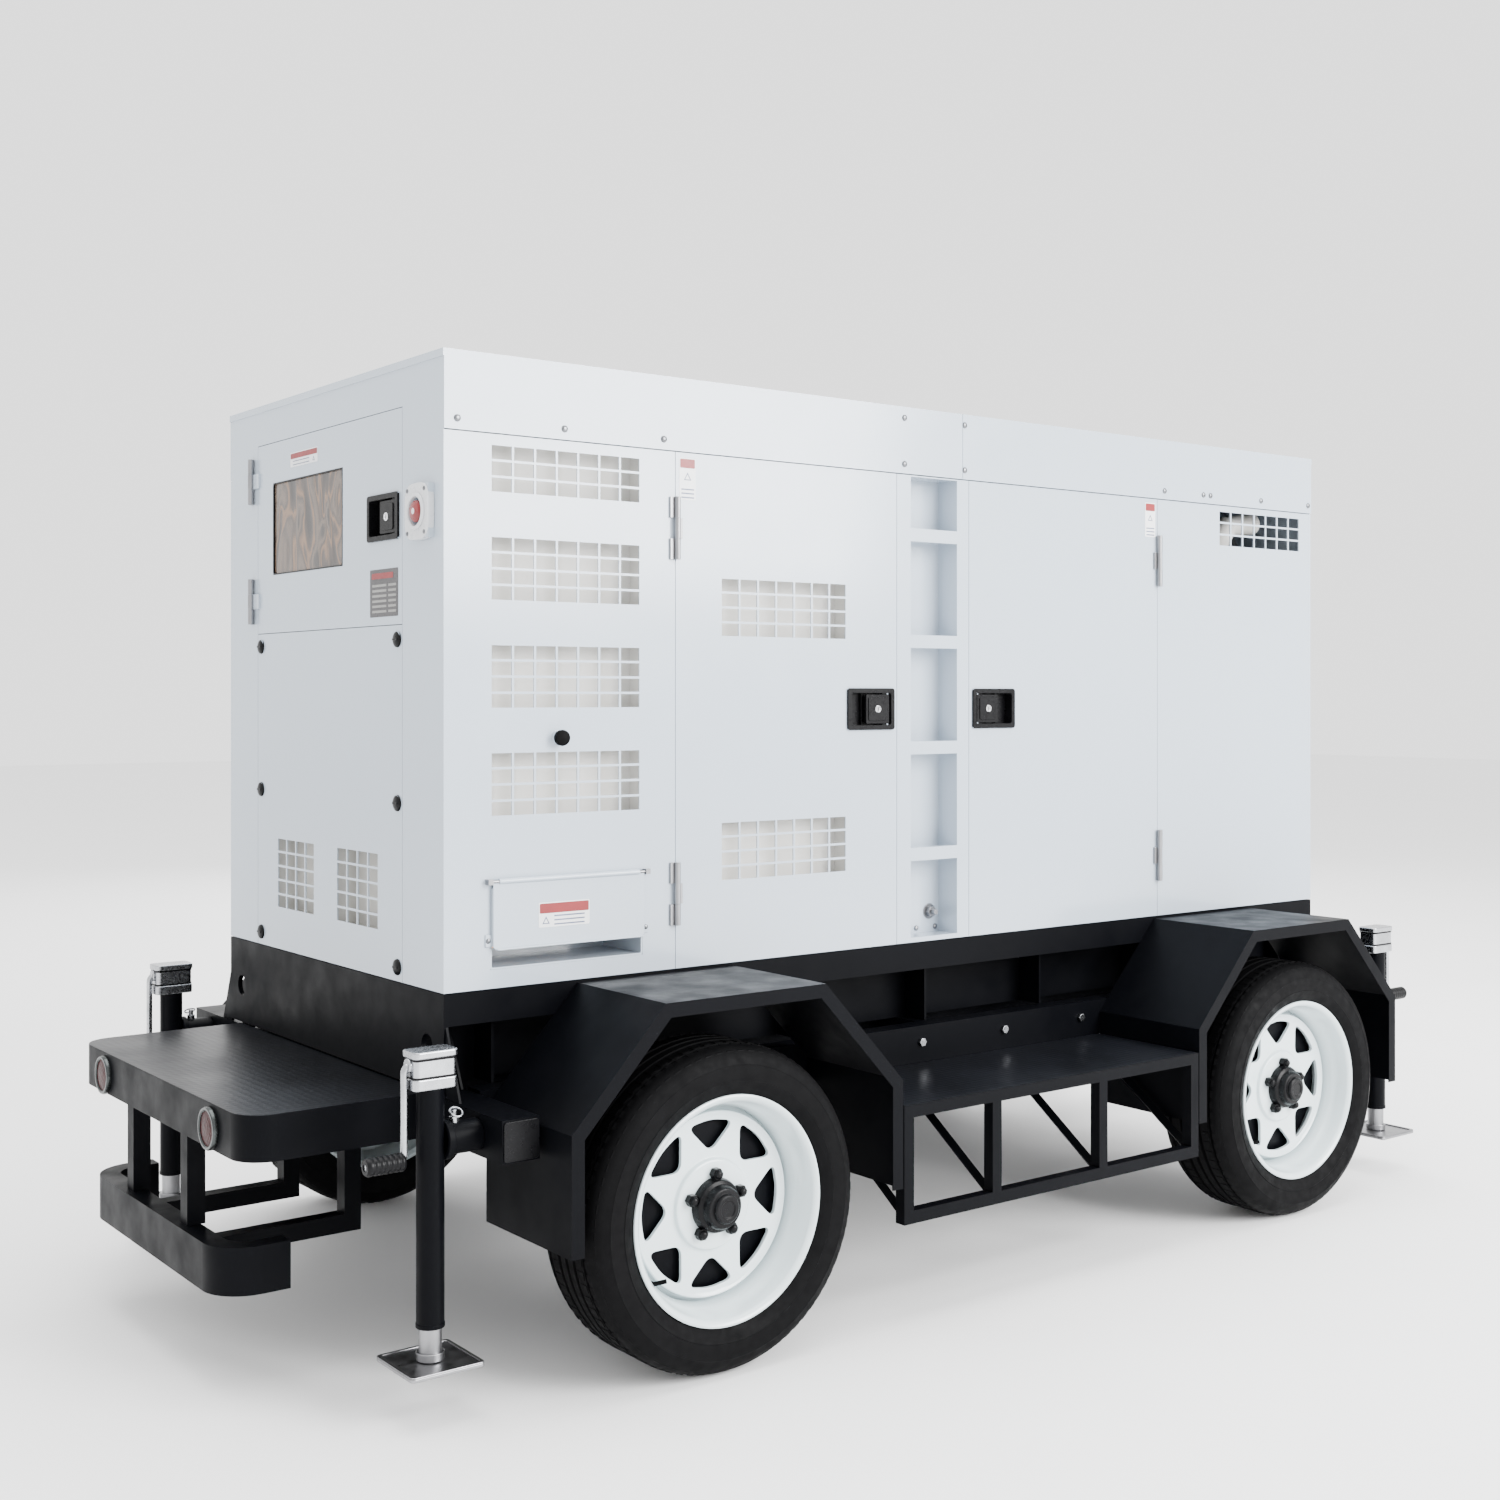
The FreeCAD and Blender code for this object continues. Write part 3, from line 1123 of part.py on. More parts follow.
def make_steering():
    link_x = "front_axle_x + arm_reach"
    for side, spot in HALVES.items():
        block = spot.slab(
            f"knuckle_block_{side}",
            ("front_axle_x - knuckle_side / 2", "front_axle_x + knuckle_side / 2"),
            ("kingpin_y - knuckle_side / 2", "kingpin_y + knuckle_side / 2"),
            ("axle_z - knuckle_tall / 2", "axle_z + knuckle_tall / 2"),
        )
        arm = spot.slab(
            f"knuckle_arm_{side}", ("front_axle_x", f"{link_x} + 2 * link_pin_r"),
            ("kingpin_y - knuckle_side / 3", "kingpin_y + knuckle_side / 3"),
            ("arm_low_z", "arm_low_z + arm_thick"),
        )
        stub = spot.rod(
            f"knuckle_stub_{side}", "y", "kingpin_y + knuckle_side / 3", "wheel_mid_y + 2 * disc_out",
            ("front_axle_x", "axle_z"), "stub_r",
        )
        pin_hole = spot.rod(
            f"kingpin_hole_{side}", "z", "axle_z - knuckle_tall", "axle_z + knuckle_tall",
            ("front_axle_x", "kingpin_y"), "kingpin_r + running",
        )
        link_hole = spot.rod(
            f"link_hole_{side}", "z", "arm_low_z - 1", "arm_low_z + arm_thick + 1",
            (link_x, "kingpin_y"), "link_pin_r + running",
        )
        blank = fuse(f"knuckle_blank_{side}", block, arm, stub)
        node(f"knuckle_{side}", cut(f"knuckle_cut_{side}", blank, pin_hole, link_hole))

    tube = MIDDLE.rod(
        "link_tube", "y", "-kingpin_y", "kingpin_y", (link_x, "link_z"), "link_tube_r"
    )
    pins = [
        MIDDLE.rod(
            f"link_pin_{name}", "z", low, "link_z", (link_x, place), "link_pin_r"
        )
        for name, place, low in (
            ("right", "-kingpin_y", "arm_low_z"),
            ("left", "kingpin_y", "arm_low_z"),
            ("middle", "0", "yoke_low_z + yoke_box / 2"),
        )
    ]
    node("tie_rod", fuse("tie_rod_blank", tube, *pins))

    half = "yoke_box / 2"
    bar = MIDDLE.slab(
        "yoke_bar", (f"front_axle_x - {half}", "hinge_x - ear_front"), (f"-{half}", half),
        ("yoke_low_z", "yoke_low_z + yoke_box"),
    )
    pin_hole = MIDDLE.rod(
        "yoke_hole", "z", "yoke_low_z - 1", "yoke_low_z + yoke_box + 1", ("front_axle_x", "0"),
        "yoke_pin_r + running",
    )
    link_hole = MIDDLE.rod(
        "yoke_link_hole", "z", "yoke_low_z + yoke_box / 2 - 2", "yoke_low_z + yoke_box + 1",
        (link_x, "0"), "link_pin_r + running",
    )
    ears = [
        spot.slab(
            f"yoke_ear_{side}", ("hinge_x + ear_front - ear_long", "hinge_x + ear_front"),
            (half, f"{half} + ear_thick"), ("hinge_z - ear_tall / 2", "hinge_z + ear_tall / 2"),
        )
        for side, spot in HALVES.items()
    ]
    hinge_pin = MIDDLE.rod(
        "drawbar_pin", "y", f"-{half} - ear_thick", f"{half} + ear_thick", ("hinge_x", "hinge_z"),
        "drawbar_pin_r",
    )
    bored = cut("yoke_bored", bar, pin_hole, link_hole)
    node("steering_yoke", fuse("yoke_weldment", bored, *ears, hinge_pin))


def make_drawbar():
    """The drawbar stands folded up against its stop; it is built about its hinge, then leant."""
    half = "drawbar_box / 2"
    bar = MIDDLE.slab(
        "drawbar_bar", (f"-{half}", half), (f"-{half}", half), ("0", "drawbar_long")
    )
    heel = MIDDLE.rod("drawbar_heel", "y", f"-{half}", half, ("0", "0"), half)
    hole = MIDDLE.rod(
        "drawbar_hole", "y", "-drawbar_box", "drawbar_box", ("0", "0"), "drawbar_pin_r + running"
    )
    eye = MIDDLE.rod(
        "eye_ring", "x", "-eye_thick / 2", "eye_thick / 2", ("0", "eye_reach"), "eye_outer_r"
    )
    eye_hole = MIDDLE.rod("eye_hole", "x", "-eye_thick", "eye_thick", ("0", "eye_reach"), "eye_r")
    leaning = cut("drawbar_folded", fuse("drawbar_blank", bar, heel, eye), hole, eye_hole)
    lean = FreeCAD.Rotation(FreeCAD.Vector(0, 1, 0), -size("drawbar_lean"))
    put(leaning, "hinge_x", "0", "hinge_z", lean)
    node("drawbar", leaning)


def make_jacks():
    for end, sign in ENDS.items():
        for side, side_sign in SIDES.items():
            tag = f"{end}_{side}"
            spot = Spot(f"{end}_jack_x", f"{side_sign} * jack_y", flip_x=sign, flip_y=side_sign)
            tube = spot.rod(
                f"jack_tube_{tag}", "z", "jack_low_z", "jack_head_z", ("0", "0"), "jack_tube_r"
            )
            head = spot.slab(
                f"jack_head_{tag}", ("-jack_head_half", "jack_head_half"),
                ("-jack_head_side", "jack_head_side"), ("jack_head_z", "jack_head_z + jack_head_tall"),
            )
            beam_gap = "canopy_rear_x - rear_jack_x"
            stub = spot.rod(
                f"jack_stub_{tag}", "x", f"-({beam_gap}) + 1", "0", ("0", "jack_pivot_z"),
                "pivot_tube_r",
            )
            pull_pin = spot.rod(
                f"pull_pin_{tag}", "z", "jack_pivot_z", "jack_pivot_z + pivot_tube_r + pull_pin_tall",
                ("-(canopy_rear_x - rear_jack_x) / 2", "0"), "pull_pin_r",
            )
            bore = spot.rod(
                f"jack_bore_{tag}", "z", "jack_low_z - 1", "jack_head_z", ("0", "0"),
                "jack_leg_r + running",
            )
            pivot_bore = spot.rod(
                f"pivot_bore_{tag}", "x", f"-({beam_gap}) - 1", f"-({beam_gap}) + pivot_pin_long + 1",
                ("0", "jack_pivot_z"), "pivot_pin_r + running",
            )
            crank_bore = spot.rod(
                f"crank_bore_{tag}", "x", "crank_in", "jack_head_half + 1", ("0", "crank_z"),
                "crank_rod_r + running",
            )
            blank = fuse(f"jack_blank_{tag}", tube, head, stub, pull_pin)
            node(f"jack_body_{tag}", cut(f"jack_cut_{tag}", blank, bore, pivot_bore, crank_bore))

            leg = spot.rod(
                f"leg_tube_{tag}", "z", "foot_z + foot_thick", "jack_leg_top_z", ("0", "0"), "jack_leg_r"
            )
            foot = spot.slab(
                f"foot_{tag}", ("-foot_side / 2", "foot_side / 2"), ("-foot_side / 2", "foot_side / 2"),
                ("foot_z", "foot_z + foot_thick"),
            )
            node(f"jack_leg_{tag}", leg, foot)

            shaft = spot.rod(
                f"crank_shaft_{tag}", "x", "crank_in + 1", "crank_out", ("0", "crank_z"), "crank_rod_r"
            )
            rod = spot.rod(
                f"crank_rod_{tag}", "z", "crank_z - crank_drop", "crank_z + crank_rod_r",
                ("crank_out", "0"), "crank_rod_r",
            )
            grip = spot.rod(
                f"crank_grip_{tag}", "x", "crank_out", "crank_out + grip_long",
                ("0", "crank_z - crank_drop"), "grip_r",
            )
            node(f"jack_crank_{tag}", fuse(f"crank_blank_{tag}", shaft, rod, grip))


def write_parts():
    """Check every object of the document, then write one STEP file per sub-part."""
    doc.recompute()
    for item in doc.Objects:
        if "Invalid" in item.State or "Error" in item.State:
            raise RuntimeError(f"{item.Name} did not compute: {item.State}")
    os.makedirs("parts", exist_ok=True)
    for name, item in NODES.items():
        shape = item.Shape
        if shape.isNull() or not shape.isValid() or not shape.Solids:
            raise RuntimeError(f"{name} has no valid solid")
        shape.exportStep(f"parts/{name}.step")
    print(len(NODES), "sub-parts written")


fixed_leaves = make_side_doors() + make_control_door() + [make_cable_outlet()]
node("door_hinges", *fixed_leaves)
make_side_panels()
make_roof()
make_ends()
make_control_box()
make_power_unit()
make_cooling()
make_chassis()
make_base()
make_platform()
make_fenders()
make_side_steps()
make_wheels()
make_axles()
make_steering()
make_drawbar()
make_jacks()
write_parts()
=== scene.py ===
"""Towable silent diesel generator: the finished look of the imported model.

Metres, in the model's own frame: +X towards the towing end, +Y to the trailer's left, Z up.
"""

import math

import bmesh
import bpy
from mathutils import Matrix, Vector


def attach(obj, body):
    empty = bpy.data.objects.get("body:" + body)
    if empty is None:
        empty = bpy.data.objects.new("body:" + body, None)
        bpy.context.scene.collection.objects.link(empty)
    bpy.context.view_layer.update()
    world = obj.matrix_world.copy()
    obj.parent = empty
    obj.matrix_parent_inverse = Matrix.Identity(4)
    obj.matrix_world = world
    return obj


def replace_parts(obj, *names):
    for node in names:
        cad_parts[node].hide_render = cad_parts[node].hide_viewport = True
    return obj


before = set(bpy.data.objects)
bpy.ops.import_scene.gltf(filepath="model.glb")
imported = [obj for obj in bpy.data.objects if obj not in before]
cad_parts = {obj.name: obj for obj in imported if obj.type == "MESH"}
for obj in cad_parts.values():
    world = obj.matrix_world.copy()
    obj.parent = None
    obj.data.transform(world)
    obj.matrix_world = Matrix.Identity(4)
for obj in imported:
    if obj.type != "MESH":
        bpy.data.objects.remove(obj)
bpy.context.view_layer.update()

SIDES = {"right": -1, "left": 1}
ENDS = {"rear": -1, "front": 1}

CANOPY_REAR = -1.201
CANOPY_HALF = 0.5
WHEEL_MIDDLE = 0.697
AXLES = {"rear": -0.775, "front": 0.892}
WHEEL_Z = 0.297
JACKS = {"rear": -1.291, "front": 1.435}
JACK_Y = 0.623
JACK_PIVOT_Z = 0.467
BEAMS_X = (-1.1645, 1.3085)


# ---------------------------------------------------------------- materials

def shader(name, roughness, metallic=0.0, coat=0.0, transmission=0.0, ior=1.5, gleam=0.5):
    """A new node material with its Principled shader."""
    material = bpy.data.materials.new(name)
    material.use_nodes = True
    surface = material.node_tree.nodes["Principled BSDF"]
    surface.inputs["Roughness"].default_value = roughness
    surface.inputs["Metallic"].default_value = metallic
    surface.inputs["Coat Weight"].default_value = coat
    surface.inputs["Coat Roughness"].default_value = 0.12
    surface.inputs["Transmission Weight"].default_value = transmission
    surface.inputs["IOR"].default_value = ior
    surface.inputs["Specular IOR Level"].default_value = gleam
    return material, surface


def noise(tree, scale, detail=4.0, stretch=(1.0, 1.0, 1.0)):
    """Noise in the object's own metres."""
    place = tree.nodes.new("ShaderNodeTexCoord")
    mapping = tree.nodes.new("ShaderNodeMapping")
    mapping.inputs["Scale"].default_value = stretch
    texture = tree.nodes.new("ShaderNodeTexNoise")
    texture.inputs["Scale"].default_value = scale
    texture.inputs["Detail"].default_value = detail
    tree.links.new(place.outputs["Object"], mapping.inputs["Vector"])
    tree.links.new(mapping.outputs["Vector"], texture.inputs["Vector"])
    return texture.outputs["Fac"]


def cells(tree, scale, randomness=1.0):
    """Distance from the middle of a cell, in the object's own metres."""
    place = tree.nodes.new("ShaderNodeTexCoord")
    texture = tree.nodes.new("ShaderNodeTexVoronoi")
    texture.inputs["Scale"].default_value = scale
    texture.inputs["Randomness"].default_value = randomness
    tree.links.new(place.outputs["Object"], texture.inputs["Vector"])
    return texture.outputs["Distance"]


def paint(tree, surface, source, stops):
    """Base colours along a value."""
    node = tree.nodes.new("ShaderNodeValToRGB")
    elements = node.color_ramp.elements
    while len(elements) < len(stops):
        elements.new(0.5)
    for element, (position, colour) in zip(elements, stops):
        element.position = position
        element.color = (*colour, 1.0)
    tree.links.new(source, node.inputs["Fac"])
    tree.links.new(node.outputs["Color"], surface.inputs["Base Color"])


def gloss(tree, surface, source, low, high):
    """Roughness that runs between two limits with a value."""
    node = tree.nodes.new("ShaderNodeMapRange")
    node.inputs["From Min"].default_value = 0.3
    node.inputs["From Max"].default_value = 0.7
    node.inputs["To Min"].default_value = low
    node.inputs["To Max"].default_value = high
    tree.links.new(source, node.inputs["Value"])
    tree.links.new(node.outputs["Result"], surface.inputs["Roughness"])


def relief(tree, surface, source, strength, distance):
    """Bump from a height value."""
    node = tree.nodes.new("ShaderNodeBump")
    node.inputs["Strength"].default_value = strength
    node.inputs["Distance"].default_value = distance
    tree.links.new(source, node.inputs["Height"])
    tree.links.new(node.outputs["Normal"], surface.inputs["Normal"])


def scaled(colour, factor):
    return tuple(min(1.0, part * factor) for part in colour)


def finish(name, colour, roughness, metallic=0.0, coat=0.0, grain=600, depth=0.0003, patch=4.0,
           shift=0.06, stretch=(1.0, 1.0, 1.0), gleam=0.5):
    """A surface whose colour and gloss vary in broad patches, with a fine grain in relief."""
    material, surface = shader(name, roughness, metallic, coat, gleam=gleam)
    tree = material.node_tree
    stops = [(0.3, scaled(colour, 1 - shift)), (0.7, scaled(colour, 1 + shift))]
    paint(tree, surface, noise(tree, patch), stops)
    gloss(tree, surface, noise(tree, patch * 6, 6.0, stretch), roughness * 0.8, roughness * 1.25)
    relief(tree, surface, noise(tree, grain, 2.0, stretch), 0.35, depth)
    return material


def tread_plate(name, colour, roughness):
    """Black coated floor plate with a small raised pattern."""
    material, surface = shader(name, roughness, gleam=0.12)
    tree = material.node_tree
    broad = noise(tree, 5.0)
    stops = [(0.3, scaled(colour, 0.8)), (0.7, scaled(colour, 1.3))]
    paint(tree, surface, broad, stops)
    gloss(tree, surface, broad, roughness * 0.85, roughness * 1.15)
    relief(tree, surface, cells(tree, 62, 0.15), 0.5, 0.0012)
    return material


def foam_lining_with_painted_shade():
    """Cream sound lining with shallow upright ribs, painted a darker grey-cream as painted shade in the
    recess behind the grilles; its darker upright stripes are painted shade in the rib grooves.
    """
    material, surface = shader("sound_lining_painted_shade", 0.85)
    tree = material.node_tree
    place = tree.nodes.new("ShaderNodeTexCoord")
    rib_shade_stripes = tree.nodes.new("ShaderNodeTexWave")
    rib_shade_stripes.inputs["Scale"].default_value = 3.0
    rib_shade_stripes.inputs["Distortion"].default_value = 0.4
    tree.links.new(place.outputs["Object"], rib_shade_stripes.inputs["Vector"])
    # Painted shade: every stop lies below the cream foam's own colour, and the dark wave troughs stand in
    # for shade in the rib grooves.
    stops = [(0.0, (0.50, 0.49, 0.46)), (0.35, (0.58, 0.57, 0.545)), (1.0, (0.61, 0.60, 0.575))]
    paint(tree, surface, rib_shade_stripes.outputs["Fac"], stops)
    relief(tree, surface, noise(tree, 300, 5.0), 0.4, 0.001)
    return material


def window_glass():
    """Clear sheet with tan and brown streaks of painted reflection in its colour, over a dark ground; the
    same streaks vary its gloss and relief.
    """
    material, surface = shader("window_glass", 0.12, transmission=0.25, ior=1.49)
    tree = material.node_tree
    painted_reflection_streaks = noise(tree, 4.2, 1.0, (1.0, 2.6, 1.1))
    painted_reflection_streaks.node.inputs["Distortion"].default_value = 1.6
    # Painted reflection: the tan and brown stops stand in for reflections on the window.
    stops = [
        (0.34, (0.030, 0.024, 0.021)), (0.45, (0.080, 0.056, 0.044)), (0.50, (0.26, 0.15, 0.085)),
        (0.55, (0.075, 0.055, 0.045)), (0.62, (0.17, 0.125, 0.095)), (0.70, (0.050, 0.042, 0.038)),
    ]
    paint(tree, surface, painted_reflection_streaks, stops)
    gloss(tree, surface, painted_reflection_streaks, 0.06, 0.2)
    relief(tree, surface, painted_reflection_streaks, 0.3, 0.006)
    return material


def lens(name, colour):
    """Moulded reflector plastic with a prism pattern in relief, each prism painted brighter at its middle
    and darker at its edges as painted glint and shade.
    """
    material, surface = shader(name, 0.3, gleam=0.08)
    tree = material.node_tree
    prism_glint_cells = cells(tree, 260)
    # Painted glint and shade: the colour rises towards each prism's middle and falls towards its edges.
    stops = [(0.0, scaled(colour, 1.5)), (0.6, colour), (1.0, scaled(colour, 0.5))]
    paint(tree, surface, prism_glint_cells, stops)
    relief(tree, surface, prism_glint_cells, 0.6, 0.001)
    return material


WHITE = finish("white_powder_coat", (0.42, 0.48, 0.55), 0.17, coat=0.45, grain=420, depth=0.00012,
               patch=1.6, shift=0.012)
BLACK = finish("black_powder_coat", (0.0020, 0.0022, 0.0031), 0.40, grain=700, depth=0.00025,
               patch=2.5, shift=0.15, gleam=0.045)
PLATE = tread_plate("black_tread_plate", (0.0036, 0.0040, 0.0056), 0.36)
RUBBER = finish("tyre_rubber", (0.0027, 0.0027, 0.0030), 0.6, grain=900, depth=0.0003, patch=9.0,
                shift=0.12, gleam=0.045)
RIM_WHITE = finish("rim_white", (0.60, 0.68, 0.70), 0.2, coat=0.5, grain=500, depth=0.0001, patch=6.0,
                   shift=0.02)
PLASTIC = finish("black_plastic", (0.0030, 0.0030, 0.0036), 0.3, grain=1500, depth=0.0003, patch=20.0,
                 shift=0.2, gleam=0.12)
ZINC = finish("zinc_plate", (0.42, 0.43, 0.45), 0.26, metallic=1.0, grain=260, depth=0.0003, patch=30.0,
              shift=0.14)
STEEL = finish("brushed_steel", (0.27, 0.27, 0.28), 0.34, metallic=1.0, grain=500, depth=0.0002,
               patch=14.0, shift=0.12, stretch=(1.0, 1.0, 0.06))
CHROME = finish("chrome", (0.80, 0.81, 0.83), 0.09, metallic=1.0, grain=300, depth=0.00005, patch=12.0,
                shift=0.05)
COPPER = finish("copper_bar", (0.72, 0.36, 0.18), 0.32, metallic=1.0, grain=400, depth=0.0002,
                patch=25.0, shift=0.2)
SCREW = finish("screw_steel", (0.16, 0.165, 0.175), 0.28, metallic=1.0, grain=500, depth=0.0001,
               patch=25.0, shift=0.2)
RED = finish("red_plastic", (0.19, 0.003, 0.005), 0.3, coat=0.1, grain=900, depth=0.0001, patch=25.0,
             shift=0.1)
LENS_RED = lens("red_reflector", (0.026, 0.0008, 0.0011))
GLASS = window_glass()
# The lining material carries painted shade: it is darker than the cream foam and striped with painted
# groove shade.
LINING_WITH_PAINTED_SHADE = foam_lining_with_painted_shade()
IRON = finish("engine_paint", (0.045, 0.09, 0.075), 0.45, grain=160, depth=0.0012, patch=7.0, shift=0.3)
ALUMINIUM = finish("finned_aluminium", (0.40, 0.41, 0.42), 0.42, metallic=1.0, grain=380, depth=0.002,
                   patch=9.0, shift=0.2, stretch=(1.0, 1.0, 0.02))
RIM_METAL = finish("reflector_rim", (0.055, 0.060, 0.060), 0.25, metallic=1.0, grain=400, depth=0.0001,
                   patch=20.0, shift=0.15)
PRINT = {"grain": 900, "depth": 0.00005, "patch": 30.0}
LABEL = finish("label_white", (0.78, 0.79, 0.80), 0.35, shift=0.03, **PRINT)
LABEL_RED = finish("label_red", (0.21, 0.003, 0.006), 0.35, shift=0.1, **PRINT)
LABEL_INK = finish("label_ink", (0.10, 0.12, 0.20), 0.4, shift=0.2, **PRINT)
LABEL_DARK = finish("plate_dark", (0.035, 0.032, 0.035), 0.3, shift=0.2, **PRINT)
STOP_CASE = finish("stop_case", (0.60, 0.61, 0.63), 0.3, coat=0.3, grain=600, depth=0.0002, patch=12.0,
                   shift=0.05)
GREY = finish("panel_grey", (0.23, 0.23, 0.22), 0.45, grain=900, depth=0.0002, patch=15.0, shift=0.08)
SCREEN = finish("screen_face", (0.03, 0.06, 0.07), 0.12, coat=0.6, grain=600, depth=0.00003, patch=20.0,
                shift=0.3)


# ---------------------------------------------------------------- mesh building

class Build:
    """Collects simple forms into one mesh, in a local frame that a matrix places in the model."""

    def __init__(self, matrix=None):
        self.mesh = bmesh.new()
        self.matrix = matrix or Matrix.Identity(4)

    def add(self, verts, faces):
        made = [self.mesh.verts.new(self.matrix @ Vector(vert)) for vert in verts]
        for face in faces:
            self.mesh.faces.new([made[index] for index in face])

    def box(self, low, high):
        (x0, y0, z0), (x1, y1, z1) = low, high
        verts = [(x, y, z) for x in (x0, x1) for y in (y0, y1) for z in (z0, z1)]
        faces = [(0, 1, 3, 2), (4, 6, 7, 5), (0, 4, 5, 1), (2, 3, 7, 6), (0, 2, 6, 4), (1, 5, 7, 3)]
        self.add(verts, faces)
        return self

    def prism(self, outline, axis, start, end):
        """An outline in the two other axes, in x, y, z order, run along one axis."""
        count = len(outline)
        verts = [place(axis, level, *point) for level in (start, end) for point in outline]
        faces = [tuple(range(count)), tuple(range(count, 2 * count))]
        for index in range(count):
            following = (index + 1) % count
            faces.append((index, following, following + count, index + count))
        self.add(verts, faces)
        return self

    def rod(self, axis, start, end, centre, radius, sides=24):
        return self.prism(ring(radius, sides, centre), axis, start, end)

    def frame(self, outer, inner, axis, start, end):
        """A ring between two outlines with the same number of points."""
        count = len(outer)
        lines = (outer, inner)
        verts = [place(axis, level, *p) for level in (start, end) for line in lines for p in line]
        faces = []
        for index in range(count):
            following = (index + 1) % count
            for first, second in ((0, 1), (2, 3), (0, 2), (1, 3)):
                a, b = first * count, second * count
                faces.append((a + index, a + following, b + following, b + index))
        self.add(verts, faces)
        return self

    def turn(self, profile, axis, centre, sides=48):
        """A closed profile of (radius, along) turned about an axis."""
        count = len(profile)
        verts = []
        for step in range(sides):
            angle = math.tau * step / sides
            for radius, along in profile:
                across = (centre[0] + radius * math.cos(angle), centre[1] + radius * math.sin(angle))
                verts.append(place(axis, along, *across))
        faces = []
        for step in range(sides):
            after = (step + 1) % sides
            for index in range(count):
                following = (index + 1) % count
                faces.append(
                    (step * count + index, step * count + following,
                     after * count + following, after * count + index)
                )
        self.add(verts, faces)
        return self

    def pipe(self, path, radius, sides=16):
        """A round tube along a list of points."""
        points = [Vector(point) for point in path]
        rings = []
        side = Vector((0.0, 0.0, 1.0))
        for index, point in enumerate(points):
            before = points[max(0, index - 1)]
            after = points[min(len(points) - 1, index + 1)]
            forward = (after - before).normalized()
            if abs(forward.dot(side)) > 0.95:
                side = Vector((0.0, 1.0, 0.0)) if abs(forward.y) < 0.9 else Vector((1.0, 0.0, 0.0))
            across = forward.cross(side).normalized()
            side = across.cross(forward).normalized()
            rings.append([
                point + radius * (math.cos(math.tau * step / sides) * across
                                  + math.sin(math.tau * step / sides) * side)
                for step in range(sides)
            ])
        verts = [tuple(vert) for line in rings for vert in line]
        faces = [tuple(range(sides)), tuple(range(len(verts) - sides, len(verts)))]
        for index in range(len(rings) - 1):
            for step in range(sides):
                following = (step + 1) % sides
                low, high = index * sides, (index + 1) * sides
                faces.append((low + step, low + following, high + following, high + step))
        self.add(verts, faces)
        return self

    def piece(self, name, body, material, slot, bevel=0.0015, segments=2, smooth=True):
        """The finished object, riding on its body."""
        bmesh.ops.recalc_face_normals(self.mesh, faces=self.mesh.faces)
        data = bpy.data.meshes.new(name)
        self.mesh.to_mesh(data)
        self.mesh.free()
        item = bpy.data.objects.new(name, data)
        bpy.context.scene.collection.objects.link(item)
        data.materials.append(material)
        soften(item, bevel, segments, smooth)
        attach(item, body)
        return item


def place(axis, along, first, second):
    """A point from its place along one axis and on the other two, in x, y, z order."""
    return {"x": (along, first, second), "y": (first, along, second), "z": (first, second, along)}[axis]


def ring(radius, sides, centre=(0.0, 0.0), start=0.0):
    """Points round a circle."""
    return [
        (centre[0] + radius * math.cos(start + math.tau * step / sides),
         centre[1] + radius * math.sin(start + math.tau * step / sides))
        for step in range(sides)
    ]


def rounded(low, high, radius, steps=5):
    """A rectangle with rounded corners."""
    corners = (
        ((high[0] - radius, high[1] - radius), 0), ((low[0] + radius, high[1] - radius), 1),
        ((low[0] + radius, low[1] + radius), 2), ((high[0] - radius, low[1] + radius), 3),
    )
    return [
        (centre[0] + radius * math.cos(math.pi / 2 * (quarter + step / steps)),
         centre[1] + radius * math.sin(math.pi / 2 * (quarter + step / steps)))
        for centre, quarter in corners
        for step in range(steps + 1)
    ]


def pad(half_x, half_y, radius):
    return rounded((-half_x, -half_y), (half_x, half_y), radius)


def bevel_edges(item, width, segments, degrees, harden):
    bevel = item.modifiers.new("edges", "BEVEL")
    bevel.width = width
    bevel.segments = segments
    bevel.limit_method = "ANGLE"
    bevel.angle_limit = math.radians(degrees)
    bevel.harden_normals = harden


def soften(item, width, segments=2, smooth=True):
    """Rounded edges with even shading."""
    if width:
        bevel_edges(item, width, segments, 35, smooth)
    if smooth:
        for polygon in item.data.polygons:
            polygon.use_smooth = True
        normals = item.modifiers.new("shading", "WEIGHTED_NORMAL")
        normals.keep_sharp = True
        item.data.set_sharp_from_angle(angle=math.radians(35))


def wall(side):
    """Local axes on a wall: x along it, y outwards from its face, z up."""
    if side == "rear":
        return Matrix(((0, -1, 0, CANOPY_REAR), (1, 0, 0, 0), (0, 0, 1, 0), (0, 0, 0, 1)))
    sign = SIDES[side]
    return Matrix(
        ((1, 0, 0, CANOPY_REAR), (0, sign, 0, sign * CANOPY_HALF), (0, 0, 1, 0), (0, 0, 0, 1))
    )


def dress(node, material, bevel=0.0012, segments=2):
    """A finish and soft edges on a carried-over CAD node."""
    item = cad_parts[node]
    item.data.materials.clear()
    item.data.materials.append(material)
    if bevel:
        bevel_edges(item, bevel, segments, 40, False)
    return item


def tall_dome(build, axis, base, centre, radius, height, sides=20):
    """A low rounded head, as on a screw or a knob."""
    profile = [
        (0.0002, base), (radius, base), (radius * 0.94, base + height * 0.5),
        (radius * 0.7, base + height * 0.86), (radius * 0.35, base + height), (0.0002, base + height),
    ]
    return build.turn(profile, axis, centre, sides)


def bend(before, corner, after, radius, steps):
    """The points that round one corner of a path."""
    corner = Vector(corner)
    start = corner + (Vector(before) - corner).normalized() * radius
    end = corner + (Vector(after) - corner).normalized() * radius
    shares = [step / steps for step in range(steps + 1)]
    return [start.lerp(corner, share).lerp(corner.lerp(end, share), share) for share in shares]


